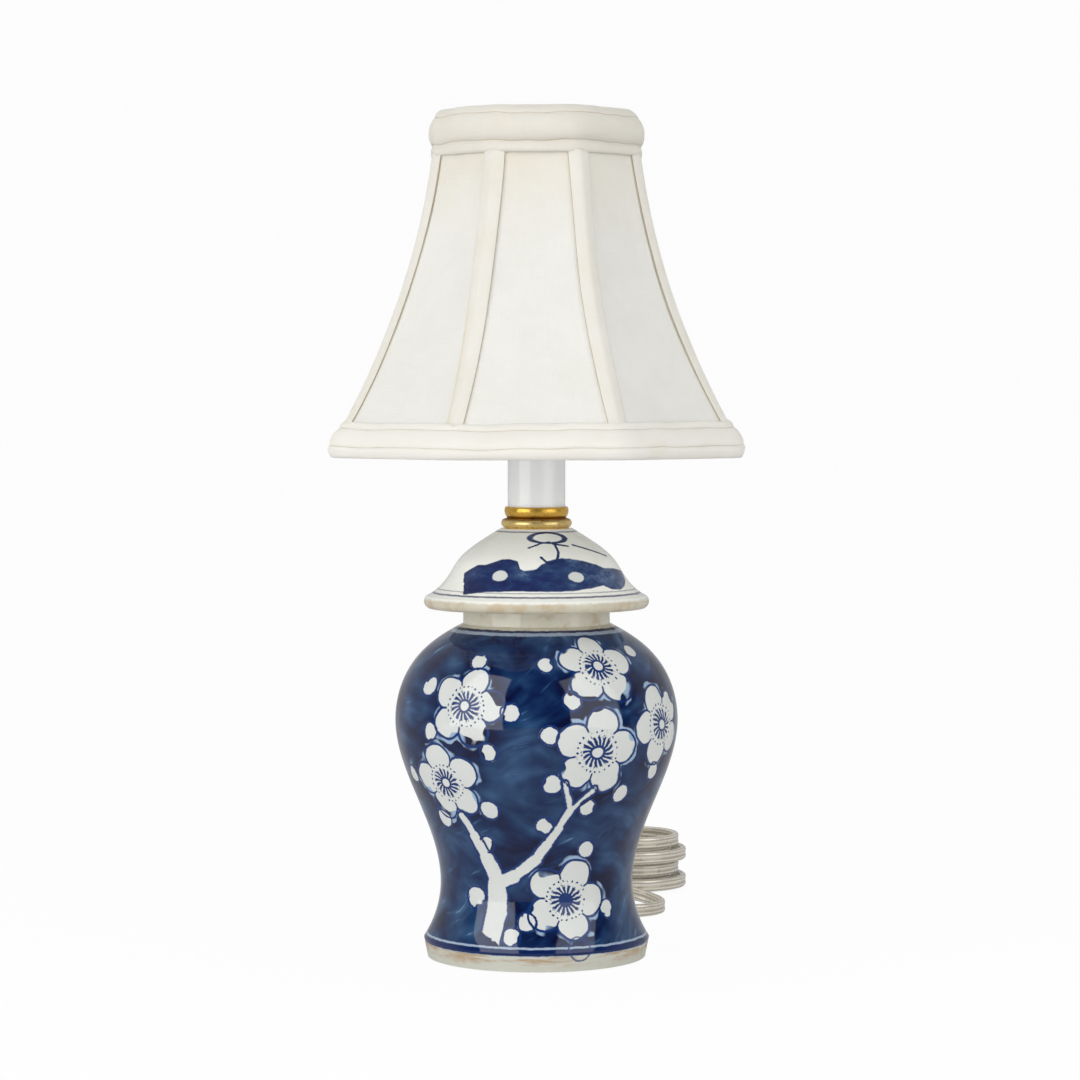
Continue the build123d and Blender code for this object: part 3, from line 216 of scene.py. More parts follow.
def brush_line(painting, turn_0, height_0, turn_1, height_1, wide, across, along):
    """How far a place is outside a stroke with round ends, in millimetres."""
    x_0, y_0 = across * math.radians(turn_0), along * height_0
    x_1, y_1 = across * math.radians(turn_1), along * height_1
    spin = -math.atan2(y_1 - y_0, x_1 - x_0)
    near = laid_at(painting, (x_0 + x_1) / 2, (y_0 + y_1) / 2, spin, across, along)
    past = (abs(near.part("X")) - math.hypot(x_1 - x_0, y_1 - y_0) / 2).most(0.0)
    aside = near.part("Y")
    square = past * past + aside * aside
    return square.math("SQRT", square) - wide


def fold(angle, count):
    """The angle from the nearest of so many spokes."""
    return angle.node(
        "Math", {0: angle, 1: math.pi / count, 2: -math.pi / count}, operation="WRAP"
    )


jar_glaze, shader, place = finish_of("glazed_porcelain", Specular_IOR_Level=0.5)
height = place.part("Z")
turn = place.math("ARCTAN2", place.part("X"), 0 - place.part("Y"))
half = fold(turn, 2)
wall_length = jar_wall(124.6)[1]
climb = height.node(
    "ValToRGB",
    {0: height / 124.6},
    stops=[(low / 124.6, (jar_wall(low)[1] / wall_length,) * 3 + (1,)) for low, radius in jar_side],
)
flat = place.node("CombineXYZ", {0: half, 1: climb.part("X") * wall_length})
unsteady = place.node(
    "VectorMath",
    {0: place.node("TexNoise", {"Vector": place, "Scale": 0.11, "Detail": 1.0}, 1), 1: (0.5, 0.5, 0.5)},
    operation="SUBTRACT",
)
hand = place.node(
    "VectorMath", {0: unsteady, 1: (0.05, 2.4, 0), 2: flat}, operation="MULTIPLY_ADD"
)

# Six open flowers, each as its turn and height on the wall, its size, and how it is turned. The
# heart of the last is painted full
blossoms = (
    (-29.7, 97.4, 15.3, 15), (-42.6, 68.6, 15.0, -11), (29.9, 111.4, 15.2, 5),
    (25.3, 81.0, 16.0, 9), (60.4, 89.1, 15.4, -21), (17.3, 25.7, 15.2, 21),
)
flower = on_wall(hand, *blossoms[0])
reach = length_of(flower)
for blossom in blossoms[1:]:
    other = on_wall(hand, *blossom)
    other_reach = length_of(other)
    nearer = reach.math("LESS_THAN", other_reach, reach)
    flower = flower.node("Mix", {0: nearer, 4: flower, 5: other}, 1, data_type="VECTOR")
    reach = reach.least(other_reach)
full_heart = nearer
bearing = reach.math("ARCTAN2", flower.part("X"), flower.part("Y"))
off_petal = fold(bearing, 5)
petal_x = reach * off_petal.math("SINE", off_petal)
petal_y = reach * off_petal.math("COSINE", off_petal) - 0.62
square = petal_x * petal_x + petal_y * petal_y
petal = square.math("SQRT", square).least(reach) - 0.4
wet = place.grain(0.32, 3.0, 0.6) - 0.5
fine = place.grain(1.3, 2.0) - 0.5
slow = place.grain(0.085, 1.0).within(0.52, 0.70)
soft = place.grain(0.22, 1.0) - 0.5
pen = 0.024 + 0.03 * wet
bite = slow * reach.within(0.62, 0.80)
reserve = (petal + 0.12 * soft + 0.02 * fine + 0.22 * bite).within(0.015, -0.02)
outline = abs(petal + 0.02 * fine).within(pen + 0.016, pen - 0.004)
notch = abs(abs(off_petal) - math.pi / 5) * reach
outline = outline.most(
    notch.within(0.034, 0.014) * reach.within(0.50, 0.56) * reach.within(0.70, 0.64)
)
spoke = abs(fold(bearing + 0.7 * (reach - 0.2) + 0.3 * wet + 0.12 * fine, 16)) * reach
stamens = (spoke - 0.075 * (reach - 0.12)).within(0.032, 0.014) * reach.within(0.12, 0.15)
stamens = stamens * (reach + 0.20 * fine).within(0.40, 0.36)
dot_spoke = abs(fold(bearing + 0.2 * wet, 25)) * reach
tip_out = reach - 0.49 + 0.10 * wet
tips = (dot_spoke * dot_spoke + tip_out * tip_out).within(0.0010, 0.0004)
tips = tips * place.grain(0.55, 1.0).within(0.36, 0.46)
eye = abs(reach - 0.15).within(0.042, 0.022) + full_heart * reach.within(0.20, 0.16)
drawn = outline.most(stamens).most(tips).most(eye).least(1.0)

# Buds, each as its turn, its height and its size
buds = (
    (-51.3, 103.8, 3.6), (-28.7, 113.4, 3.4), (-10.1, 95.5, 3.7), (-19.3, 80.9, 3.4),
    (-46.7, 87.5, 3.2), (-67.2, 70.0, 3.5), (-22.7, 59.1, 3.7), (-52.1, 54.4, 3.5),
    (-27.1, 46.2, 3.2), (4.1, 53.9, 3.6), (6.6, 69.3, 3.7), (4.4, 112.4, 3.3),
    (14.4, 99.6, 3.5), (5.3, 87.7, 3.6), (57.1, 115.8, 3.2), (40.5, 65.0, 3.6),
    (24.0, 60.2, 3.3), (59.3, 71.8, 3.5), (27.6, 44.3, 3.4), (44.7, 21.1, 3.3),
    (-5.3, 17.7, 3.5), (-37.6, 25.8, 4.2), (-13.3, 12.6, 3.6),
)
bud = length_of(on_wall(hand, *buds[0]))
for each in buds[1:]:
    bud = bud.least(length_of(on_wall(hand, *each)))
reserve = reserve.most((bud + 2.0 * soft.most(-0.03)).within(1.07, 0.97))
drawn = drawn.most(abs(bud - 1 + 0.2 * fine).within(0.16, 0.07))

# The bough: stretches of a tapering stem, each as the turn and height of its two ends and its width
boughs = (
    (-25.8, 10.0, -23.6, 20.8, 4.2), (-23.6, 20.8, -23.3, 31.5, 4.0), (-23.3, 31.5, -28.5, 40.8, 3.1),
    (-28.5, 40.8, -33.6, 48.9, 2.4), (-33.6, 48.9, -38.6, 56.1, 1.7), (-22.5, 31.5, -12.2, 34.6, 2.8),
    (-12.2, 34.6, -0.8, 40.7, 2.4), (-0.8, 40.7, 5.9, 46.8, 2.0), (5.9, 46.8, 11.6, 52.7, 1.8),
    (11.6, 52.7, 15.7, 59.4, 1.5), (15.7, 59.4, 12.2, 69.6, 1.1), (15.7, 59.4, 26.4, 67.3, 1.1),
)
stem = None
for turn_0, height_0, turn_1, height_1, wide in boughs:
    radius = jar_wall((height_0 + height_1) / 2)[0]
    low, high = jar_wall(height_0)[1], jar_wall(height_1)[1]
    off = brush_line(hand, turn_0, low, turn_1, high, wide, radius, 1.0)
    stem = off if stem is None else stem.least(off)
stem = stem + 0.8 * soft + 0.6 * fine - 0.2
rooted = (height + 20 * half + 3 * wet).within(2.5, 3.1)
bark = stem.within(0.1, -0.2) * rooted
reserve = reserve.most(bark)
drawn = drawn.most(abs(stem).within(0.75, 0.25) * rooted)
drawn = drawn * (1 - bark * stem.within(-0.9, -1.2))

# Cobalt wash, in broad slanting strokes that pool dark where they overlap
sheet = place.node("CombineXYZ", {0: turn * 47.0, 1: height})
swirl = place.node("TexNoise", {"Vector": sheet, "Scale": 0.03, "Detail": 1.0}, 1)
swept = place.node(
    "VectorMath", {0: swirl, 1: (15, 15, 0), 2: sheet}, operation="MULTIPLY_ADD"
)
left_stroke = swept.brushed(22.0, 6.0, 28).grain(1.0, 2.0, 0.42)
right_stroke = swept.brushed(20.0, 6.4, -18).grain(1.0, 2.0, 0.42)
patch = place.grain(0.045, 1.0).within(0.45, 0.55)
stroke = patch * left_stroke + (1 - patch) * right_stroke
pool = place.grain(0.055, 2.0) - 0.5
near = (petal + 0.25 * wet).within(0.5, 0.05) * 0.10
wisp = swept.brushed(17.0, 3.0, 24).grain(1.0, 3.0, 0.5).within(0.60, 0.80)
tone = 0.11 + 0.74 * stroke + 0.7 * pool + 0.34 * wisp + 0.03 * fine - near
wash = tone.node(
    "ValToRGB",
    {0: tone},
    stops=(
        (0.30, ink(0, 10, 50)), (0.42, ink(6, 32, 74)), (0.54, ink(24, 54, 92)),
        (0.68, ink(48, 80, 118)), (0.82, ink(104, 134, 164)),
    ),
)
white = (0.6 * wet + 0.5).tint(ink(215, 216, 208), ink(205, 210, 210))
halo = (petal + 0.25 * soft).within(0.10, 0.055) * place.grain(0.13, 1.0).within(0.46, 0.58) * 0.85
wash = halo.tint(wash, ink(160, 186, 212))
blue_line = (wet + 0.5).tint(ink(0, 28, 82), ink(22, 60, 122))
painted = drawn.tint(reserve.tint(wash, white), blue_line)

# Bands at the shoulder and the foot, the pale neck and the bare, stained foot
uneven = height + 0.7 * wet
celadon = place.grain(0.2, 3.0).tint(ink(216, 213, 195), ink(228, 223, 206))
stain = place.grain(0.13, 4.0, 0.65).within(0.5, 0.72)
celadon = (0.6 * stain).tint(celadon, ink(190, 166, 126))
ground = uneven.within(8.9, 9.2) * uneven.within(122.0, 121.6)
rings = uneven.within(122.7, 122.9) * uneven.within(123.7, 123.4)
rings = rings.most(uneven.within(5.9, 6.2) * uneven.within(8.5, 8.2))
thinned = uneven.within(11.0, 10.0).most(uneven.within(121.0, 121.8) * uneven.within(123.8, 123.0))
edge_line = (0.75 * thinned).tint(celadon, ink(128, 156, 192))
colour = ground.tint(edge_line, painted)
colour = rings.tint(colour, ink(6, 32, 82))
inside = length_of(place.stretched((1, 1, 0))).within(35.0, 34.4) * height.within(110, 100)
bare = uneven.within(6.0, 5.7).most(inside)
streak = place.stretched((0.05, 0.05, 0.4)).grain(1.0, 5.0, 0.7)
burnt = streak.within(0.44, 0.62) * (uneven + 4.0 * wet).within(1.0, 5.0) * (0.85 - 0.5 * inside)
clay = burnt.tint(ink(200, 200, 188), ink(172, 138, 94))
colour = bare.tint(colour, clay)
loose_bud = length_of(on_wall(hand, 22.3, 8.4, 4.3))
loose_bud = abs(loose_bud - 1 + 0.2 * fine).within(0.13, 0.05) * (1 - inside)
colour = (0.8 * loose_bud).tint(colour, blue_line)
specks = place.grain(0.9, 1.0).within(0.80, 0.84) * 0.6
specks.tint(colour, ink(70, 60, 52)).into(shader, "Base Color")
(0.05 + 0.45 * bare + 0.04 * place.grain(0.5, 3.0)).into(shader, "Roughness")
(place.grain(0.06, 1.0) + 0.05 * bare * fine).dent(shader, 0.0006)
dress(jar_glaze, "jar_body")


# Jar lid: thrown porcelain, a hollow dome with a flared brim whose spigot drops into the neck.
# A long rock with two white holes is painted round the dome in dark cobalt, with a few fine plant
# lines above it and two rings on the brim; the rim, where it stood in the kiln, is bare and tan.
lid_glaze, shader, place = finish_of("glazed_lid", Specular_IOR_Level=0.5)
height = place.part("Z")
turn = place.math("ARCTAN2", place.part("X"), 0 - place.part("Y"))
half = fold(turn, 2)
wet = place.grain(0.35, 3.0, 0.6) - 0.5
fine = place.grain(1.4, 2.0) - 0.5
degrees = half * (180 / math.pi) + 2.0 * wet
level = height + 0.7 * wet


def drawn_edge(points):
    """A height round the lid, drawn through pairs of a turn and a height."""
    stops = [((turn + 90) / 180, ((height - 130) / 30,) * 3 + (1,)) for turn, height in points]
    share = (degrees + 90) / 180
    edge = share.node("ValToRGB", {0: share}, stops=stops)
    return edge.part("X") * 30 + 130


rock_top = drawn_edge((
    (-59, 142.0), (-56.6, 144.2), (-52, 145.6), (-46, 147.3), (-38.7, 147.5), (-26.3, 149.6),
    (-19.9, 149.8), (-13.6, 149.0), (-11.4, 146.2), (-8.6, 145.6), (-0.1, 146.2), (3.3, 147.8),
    (11.9, 149.4), (19.9, 150.1), (33.9, 149.2), (47.5, 147.4), (54.3, 146.0), (67.9, 145.6),
    (84.5, 144.1), (87, 141.0),
))
rock_foot = drawn_edge((
    (-59, 147.0), (-56.6, 143.4), (-45.4, 137.0), (-44, 136.7), (-30.2, 137.9), (-11, 138.4),
    (7.2, 138.2), (21.2, 138.3), (34.3, 139.1), (45, 139.9), (50, 138.6), (58, 138.0), (68.4, 139.4),
    (77, 141.0), (84.5, 143.4), (87, 146.0),
))
rock = (rock_top - level).within(-0.2, 0.25) * (level - rock_foot).within(-0.2, 0.2)
holes = None
for centre, middle in ((-24.5, 143.7), (26.7, 143.2)):
    aside, above = (degrees - centre) / 5.4, (level - middle) / 1.9
    hole = (aside * aside + above * above).within(1.15, 0.85)
    holes = hole if holes is None else holes.most(hole)

# Plant lines, each through pairs of a turn and a height
flat = place.node("CombineXYZ", {0: half, 1: height})
plant = (
    ((-7.3, 153.6), (4.6, 155.2), (13.1, 155.6), (17.2, 154.9), (23.3, 154.6), (31, 154.1)),
    ((18, 154.9), (18.6, 152.2), (15.6, 149.4), (7.4, 148.6), (3.6, 150.3)),
    ((37.2, 154.5), (52.6, 152.6), (69.9, 150.0)),
)
lines = None
for stalk, wide in zip(plant, (0.36, 0.40, 0.42)):
    for (turn_0, height_0), (turn_1, height_1) in zip(stalk, stalk[1:]):
        off = brush_line(flat, turn_0, height_0, turn_1, height_1, wide, 22.0, 1.4)
        lines = off if lines is None else lines.least(off)
lines = (lines + 0.5 * wet + 0.2 * fine).within(0.15, -0.1)
aside, above = (degrees - 13.3) / 21, (height - 157.1) / 1.8
petal = aside * aside + above * above
petal = abs(petal.math("SQRT", petal) - 1) + 0.15 * wet
lines = lines.most(petal.within(0.24, 0.13))
rings = abs(height - 159.0 + 0.3 * wet).within(0.35, 0.12) * 0.7
rings = rings.most(abs(height - 137.6 + 0.4 * wet).within(0.28, 0.08) * 0.55)
rings = rings.most(abs(height - 136.2 + 0.4 * wet).within(0.42, 0.15) * 0.85)
# The lid's white is painted lighter than the jar's: painted light where the shade shadows the dome
white = place.grain(0.12, 3.0).tint(ink(240, 241, 233), ink(248, 248, 240))
tone = place.stretched((0.12, 0.12, 0.25)).grain(1.0, 4.0, 0.65) + 0.002 * degrees
rock_blue = tone.node(
    "ValToRGB",
    {0: tone},
    stops=(
        (0.34, ink(8, 26, 80)), (0.50, ink(20, 44, 96)), (0.62, ink(40, 66, 110)),
        (0.76, ink(86, 110, 148)),
    ),
)
colour = rock.tint(white, rock_blue)
colour = (holes * rock).tint(colour, ink(214, 218, 214))
colour = lines.most(rings).tint(colour, ink(24, 48, 96))
bare = (height + 1.2 * wet).within(134.6, 133.4)
tan = place.grain(0.14, 4.0, 0.65).within(0.42, 0.66)
tan = (0.6 * tan).tint(ink(200, 194, 175), ink(184, 158, 116))
bare.tint(colour, tan).into(shader, "Base Color")
(0.05 + 0.3 * bare + 0.04 * place.grain(0.5, 3.0)).into(shader, "Roughness")
place.grain(0.07, 1.0).dent(shader, 0.0005)
dress(lid_glaze, "jar_lid")


# Threaded pipe, washer and nuts: zinc-plated steel, the stack that clamps jar, lid and brass
# together. The plating is dull grey with a faint bloom.
zinc, shader, place = finish_of("zinc_plated_steel", Metallic=1.0)
bloom = place.grain(0.6, 4.0, 0.65)
bloom.tint(ink(150, 152, 152), ink(192, 194, 192)).into(shader, "Base Color")
(0.28 + 0.3 * bloom).into(shader, "Roughness")
place.grain(2.5, 2.0).dent(shader, 0.0001)
dress(zinc, "lamp_pipe", "base_washer", "pipe_nuts", "socket_bracket")


# Rubber washer: a ring punched from black sheet rubber. It is clamped between the jar's floor and
# the steel washer, so that the nut doesn't crack the porcelain.
rubber, shader, place = finish_of("washer_rubber")
dust = place.grain(0.8, 4.0, 0.7)
dust.tint(ink(30, 30, 31), ink(58, 57, 55)).into(shader, "Base Color")
(0.62 + 0.25 * dust).into(shader, "Roughness")
place.grain(3.0, 2.0).dent(shader, 0.00015)
dress(rubber, "base_rubber_washer")


# Brass collar and cup: turned from bar on a lathe and lacquered. The collar is the rosier of the
# two; fine tool rings run round both, and a darker brown band is painted round the groove's height,
# with patches of tarnish.
def lacquered_brass(name, pale, deep, groove):
    """Brass under lacquer, from its two colours and the height round which a darker brown band is
    painted.
    """
    material, shader, place = finish_of(name, Metallic=1.0)
    wear = place.grain(0.35, 4.0, 0.6)
    tool = place.stretched((0.05, 0.05, 5.0)).grain(1.0, 2.0)
    # A darker brown band painted round the groove's height
    low = abs(place.part("Z") - groove).within(1.1, 0.3)
    tarnish_and_dark_band = (0.75 * low + 0.6 * wear.within(0.52, 0.8)).least(1.0)
    tarnish_and_dark_band.tint(tool.tint(pale, deep), ink(140, 96, 40)).into(shader, "Base Color")
    (0.16 + 0.22 * wear + 0.2 * low).into(shader, "Roughness")
    tool.dent(shader, 0.00006)
    return material


dress(lacquered_brass("rosy_brass", ink(255, 228, 158), ink(246, 210, 134), 163.8), "brass_collar")
dress(lacquered_brass("yellow_brass", ink(250, 203, 104), ink(234, 182, 72), 163.8), "brass_cup")


# Candle sleeve: a white plastic tube over the socket, moulded with a slight sheen, a little
# yellowed low down where hands have held it.
sleeve_white, shader, place = finish_of("sleeve_plastic", Roughness=0.2, Coat_Weight=0.25)
yellowed = place.grain(0.08, 3.0) * place.part("Z").within(206.0, 168.0)
yellowed.tint(ink(249, 251, 252), ink(246, 246, 241)).into(shader, "Base Color")
place.stretched((0.3, 0.3, 0.03)).grain(1.0, 2.0).dent(shader, 0.00025)
dress(sleeve_white, "candle_sleeve")


# Socket: cream urea moulding on a steel bracket, with a nickel screw shell, a sprung contact and
# two wires. It stands inside the sleeve and shows only from above, past the bulb.
urea, shader, place = finish_of("socket_moulding")
cloud = place.grain(0.7, 4.0, 0.6)
cloud.tint(ink(222, 214, 192), ink(206, 194, 166)).into(shader, "Base Color")
(0.32 + 0.2 * cloud).into(shader, "Roughness")
dress(urea, "candle_socket")
nickel, shader, place = finish_of("nickel_plate", Metallic=1.0)
haze = place.stretched((0.4, 0.4, 2.0)).grain(1.0, 3.0)
haze.tint(ink(176, 172, 160), ink(204, 200, 188)).into(shader, "Base Color")
(0.2 + 0.25 * haze).into(shader, "Roughness")
haze.dent(shader, 0.0001)
dress(nickel, "socket_shell", "socket_contact")
wire_white, shader, place = finish_of("wire_insulation")
scuff = place.grain(1.2, 3.0)
scuff.tint(ink(216, 212, 200), ink(190, 186, 172)).into(shader, "Base Color")
(0.35 + 0.2 * scuff).into(shader, "Roughness")
dress(wire_white, "socket_wires", "inner_lead")


# Cord bushing: soft black rubber pushed into the hole at the back of the jar, tapered along the
# cord so that it can't be bent sharply.
bushing_rubber, shader, place = finish_of("bushing_rubber")
ribs = place.stretched((0.15, 1.0, 0.15)).grain(1.0, 2.0)
scuff = place.grain(0.9, 4.0, 0.7)
scuff.tint(ink(33, 33, 34), ink(62, 61, 60)).into(shader, "Base Color")
(0.55 + 0.25 * scuff).into(shader, "Roughness")
ribs.dent(shader, 0.0004)
dress(bushing_rubber, "cord_bushing")


# Bulb: clear blown glass on a nickel screw cap, with a glass stem, a coiled tungsten filament, a
# dark glass insulator and a soldered contact.
clear_glass, shader, place = finish_of(
    "clear_glass", Roughness=0.02, IOR=1.46, Transmission_Weight=1.0, Base_Color=ink(246, 249, 248)
)
place.grain(0.12, 1.0).dent(shader, 0.0003)
dress(clear_glass, "bulb_glass", "bulb_stem")
dress(nickel, "bulb_cap")
tungsten, shader, place = finish_of("tungsten", Metallic=1.0)
coil = place.stretched((6.0, 6.0, 6.0)).grain(1.0, 2.0)
coil.tint(ink(62, 60, 58), ink(112, 108, 102)).into(shader, "Base Color")
(0.35 + 0.2 * coil).into(shader, "Roughness")
coil.dent(shader, 0.0003)
dress(tungsten, "bulb_filament")
dark_glass, shader, place = finish_of("dark_glass", Coat_Weight=0.4)
swirl = place.grain(0.9, 3.0)
swirl.tint(ink(26, 22, 28), ink(48, 40, 46)).into(shader, "Base Color")
(0.15 + 0.15 * swirl).into(shader, "Roughness")
dress(dark_glass, "bulb_insulator")
solder, shader, place = finish_of("solder", Metallic=1.0)
dull = place.grain(1.5, 4.0, 0.7)
dull.tint(ink(142, 142, 144), ink(186, 186, 188)).into(shader, "Base Color")
(0.35 + 0.3 * dull).into(shader, "Roughness")
dull.dent(shader, 0.0003)
dress(solder, "bulb_contact")


# Bulb clip: spring wire bent into two loops that grip the bulb, spot-welded to a pressed hub, with
# a rivet that the shade's spider turns on.
dress(nickel, "clip_rivet")
spring_steel, shader, place = finish_of("spring_steel", Metallic=1.0)
drawn_out = place.grain(0.8, 4.0, 0.6)
drawn_out.tint(ink(168, 162, 148), ink(198, 192, 176)).into(shader, "Base Color")
(0.22 + 0.25 * drawn_out).into(shader, "Roughness")
place.grain(3.0, 2.0).dent(shader, 0.00008)
dress(spring_steel, "bulb_clip")


# Shade frame: eight ribs and two rings of coppered steel wire, welded, with a spider of four arms
# whose hub turns on the clip's rivet. Cloth covers nearly all of it; the spider shows from above.
frame_wire, shader, place = finish_of("coppered_wire", Metallic=1.0)
dulled = place.grain(0.5, 4.0, 0.65)
dulled.tint(ink(150, 132, 104), ink(186, 172, 146)).into(shader, "Base Color")
(0.3 + 0.3 * dulled).into(shader, "Roughness")
place.grain(2.0, 2.0).dent(shader, 0.00012)
dress(frame_wire, "shade_spider", "shade_top_ring", "shade_bottom_ring", "shade_ribs")


# Shade panels: eight gores of fine off-white linen, cut on the flare and stretched from ring to
# ring over the ribs. Each bows in a little between its ribs, and the weave is slubby.
flare_radius, flare_middle, flare_height = 273.0, 309.3, 330.8


def side_at(height):
    """How far the middle of a flat side stands from the axis, in millimetres."""
    return flare_middle - math.sqrt(flare_radius**2 - (height - flare_height) ** 2)


def shade_radius(turn, height):
    """The cloth's radius, with its eight corners rounded by the ribs and softer towards the top."""
    off = abs((turn + 22.5) % 45 - 22.5)
    flatness = 0.96 - 0.34 * min(max((height - 230) / 75, 0), 1)
    rounding = 0.448 * math.radians(max(off - 18.5, 0)) ** 2 / (2 * math.radians(4.0))
    corner = 1 / math.cos(math.radians(off)) - rounding
    return side_at(height) * (1 - flatness + flatness * corner)


def polar(turn, radius, height):
    """A place from its turn off the front, its distance from the axis and its height."""
    angle = math.radians(turn)
    return Vector((radius * math.sin(angle), -radius * math.cos(angle), height))


def skin(name, grid, material, body, round_u=False, round_v=False):
    """A mesh over rows of places in millimetres, smooth, that knows its own threads and shares."""
    rows, columns = len(grid), len(grid[0])
    made = bmesh.new()
    threads = made.loops.layers.uv.new("threads")
    shares = made.loops.layers.uv.new("shares")
    points = [[made.verts.new(place / 1000) for place in row] for row in grid]
    across = [[0.0] for row in grid]
    for i in range(rows):
        for j in range(1, columns + 1):
            step = grid[i][j % columns] - grid[i][j - 1]
            across[i].append(across[i][-1] + step.length)
    along = [[0.0] for j in range(columns)]
    for j in range(columns):
        for i in range(1, rows + 1):
            step = grid[i % rows][j] - grid[i - 1][j]
            along[j].append(along[j][-1] + step.length)
    for i in range(rows if round_v else rows - 1):
        for j in range(columns if round_u else columns - 1):
            corners = ((i, j), (i, j + 1), (i + 1, j + 1), (i + 1, j))
            face = made.faces.new([points[a % rows][b % columns] for a, b in corners])
            face.smooth = True
            for loop, (a, b) in zip(face.loops, corners):
                loop[threads].uv = (across[a % rows][b], along[b % columns][a])
                loop[shares].uv = (
                    b / (columns if round_u else columns - 1),
                    a / (rows if round_v else rows - 1),
                )
    mesh = bpy.data.meshes.new(name)
    made.to_mesh(mesh)
    made.free()
    mesh.materials.append(material)
    piece = bpy.data.objects.new(name, mesh)
    bpy.context.scene.collection.objects.link(piece)
    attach(piece, body)
    return piece


def woven(name, pale, deep, pitch):
    """Plain-woven cloth: its material, shader, places, colour, threads' height and slubs."""
    material, shader, place = finish_of(name, Roughness=0.85, Sheen_Weight=0.15)
    threads = place.node("UVMap", uv_map="threads")
    turns = 2 * math.pi / pitch
    warp = threads.part("X") * turns
    weft = threads.part("Y") * turns
    weave = warp.math("SINE", warp) * weft.math("SINE", weft)
    slubs = threads.stretched((0.12, 2.2, 1)).grain(1.0, 3.0) * 0.5
    slubs = slubs + threads.stretched((2.2, 0.12, 1)).grain(1.0, 3.0) * 0.5
    cloud = place.grain(0.05, 3.0, 0.6)
    tone = 0.45 * slubs + 0.55 * cloud + 0.03 * weave
    colour = tone.within(0.3, 0.7).tint(deep, pale)
    return material, shader, place, colour, weave, slubs


linen, shader, place, colour, weave, slubs = woven(
    "shade_linen", ink(233, 232, 226), ink(227, 226, 218), 0.55
)
shares = place.node("UVMap", uv_map="shares")
edge = abs(shares.part("X") - 0.5).within(0.40, 0.5)
# The upper part of each panel is painted yellower and darker, in patches
yellower_darker_top = shares.part("Y").within(0.55, 0.95) * place.grain(0.06, 3.0)
stain = (0.30 * edge * place.grain(0.1, 2.0) + 0.5 * yellower_darker_top).least(1.0)
stain.tint(colour, ink(222, 206, 168)).into(shader, "Base Color")
(0.25 * weave + slubs + 0.8 * place.grain(0.09, 2.0)).dent(shader, 0.00045, 0.6)

panel_low, panel_high = 190.0, 311.1
panels = []
for side in range(8):
    facing = 45 * side
    grid = []
    for i in range(41):
        height = panel_low + (panel_high - panel_low) * i / 40
        row = []
        for j in range(25):
            off = -22.0 + 44.0 * j / 24
            bow = 0.9 * (1 - (off / 22.0) ** 2) * math.sin(math.pi * i / 40)
            ripple = 0.25 * noise.noise(Vector((off * 0.12, height * 0.03, side * 7.0)))
            radius = shade_radius(facing + off, height) - bow - 0.15 + ripple
            row.append(polar(facing + off, radius, height))
        grid.append(row)
    panel = skin(f"linen_panel_{side + 1}", grid, linen, "shade")
    cut = sum(face.area for face in panel.data.polygons)
    thick = panel.modifiers.new("cloth", "SOLIDIFY")
    thick.thickness = 0.0005
    panels.append((panel, cut))


# Lining: eight thinner gores of plain white taffeta, sewn together and stretched inside the ribs.
# It is sewn to the two rings, where the trims cover the stitches.
lining_inset = 3.6
taffeta, shader, place, colour, weave, slubs = woven(
    "lining_taffeta", ink(245, 244, 239), ink(237, 235, 227), 0.4
)
colour.into(shader, "Base Color")
(0.5 * weave + slubs).dent(shader, 0.0003, 0.5)
grid = []
for i in range(41):
    height = panel_low + 1.0 + (panel_high - panel_low - 2.0) * i / 40
    row = []
    for j in range(192):
        turn = 180 + 360 * j / 192
        off = abs((turn + 22.5) % 45 - 22.5)
        slack = 0.5 * math.sin(math.pi * i / 40) * (1 - off / 22.5)
        angle = math.radians(turn)
        ripple = 0.3 * noise.noise(Vector((math.sin(angle) * 3, math.cos(angle) * 3, height * 0.04)))
        radius = shade_radius(turn, height) - lining_inset - slack + ripple
        row.append(polar(turn, radius, height))
    grid.append(row)
lining = skin("taffeta_lining", grid, taffeta, "shade", round_u=True)
thick = lining.modifiers.new("cloth", "SOLIDIFY")
thick.thickness = 0.0003
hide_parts("shade_lining")


# Rib bands: strips of cream bias tape, both edges folded under, glued over the ribs. Old glue and
# painted shadow darken the edge that faces the front, and one band at the front left has yellowed.
bias_tape, shader, place, colour, weave, slubs = woven(
    "bias_tape", ink(250, 247, 237), ink(245, 241, 229), 0.5
)
shares = place.node("UVMap", uv_map="shares")
wander = 0.03 * (place.grain(0.15, 3.0) - 0.5)
right, back, up = place.part("X"), place.part("Y"), place.part("Z")
to_front = (0.5 - shares.part("X")) * right.math("SIGN", right)
# A darker line painted along the edge that faces the front: old glue and painted shadow of the fold
glue_and_shadow_line = abs(to_front - 0.45 + wander).within(0.05, 0.015)
yellow = to_front.within(-0.1, -0.45) * right.within(-20, -26) * right.within(-48, -42)
yellow = yellow * back.within(0, -5) * up.within(280, 215) * place.grain(0.12, 3.0)
yellow = yellow.least(0.8) + 0.12 * place.grain(0.06, 3.0).within(0.5, 0.75)
colour = yellow.tint(colour, ink(232, 214, 160))
(0.75 * glue_and_shadow_line).tint(colour, ink(186, 160, 104)).into(shader, "Base Color")
(0.4 * weave + slubs + 0.5 * place.grain(0.2, 2.0) - 0.8 * glue_and_shadow_line).dent(shader, 0.0005, 0.7)
random.seed(4)
band_low, band_high = 198.6, 298.4
tape_section = ((-1.0, -0.1), (-0.97, 0.45), (-0.86, 0.62), (-0.6, 0.75), (-0.25, 1.15), (0.0, 1.3))
tape_section = tape_section + tuple((-x, y) for x, y in reversed(tape_section[:-1]))
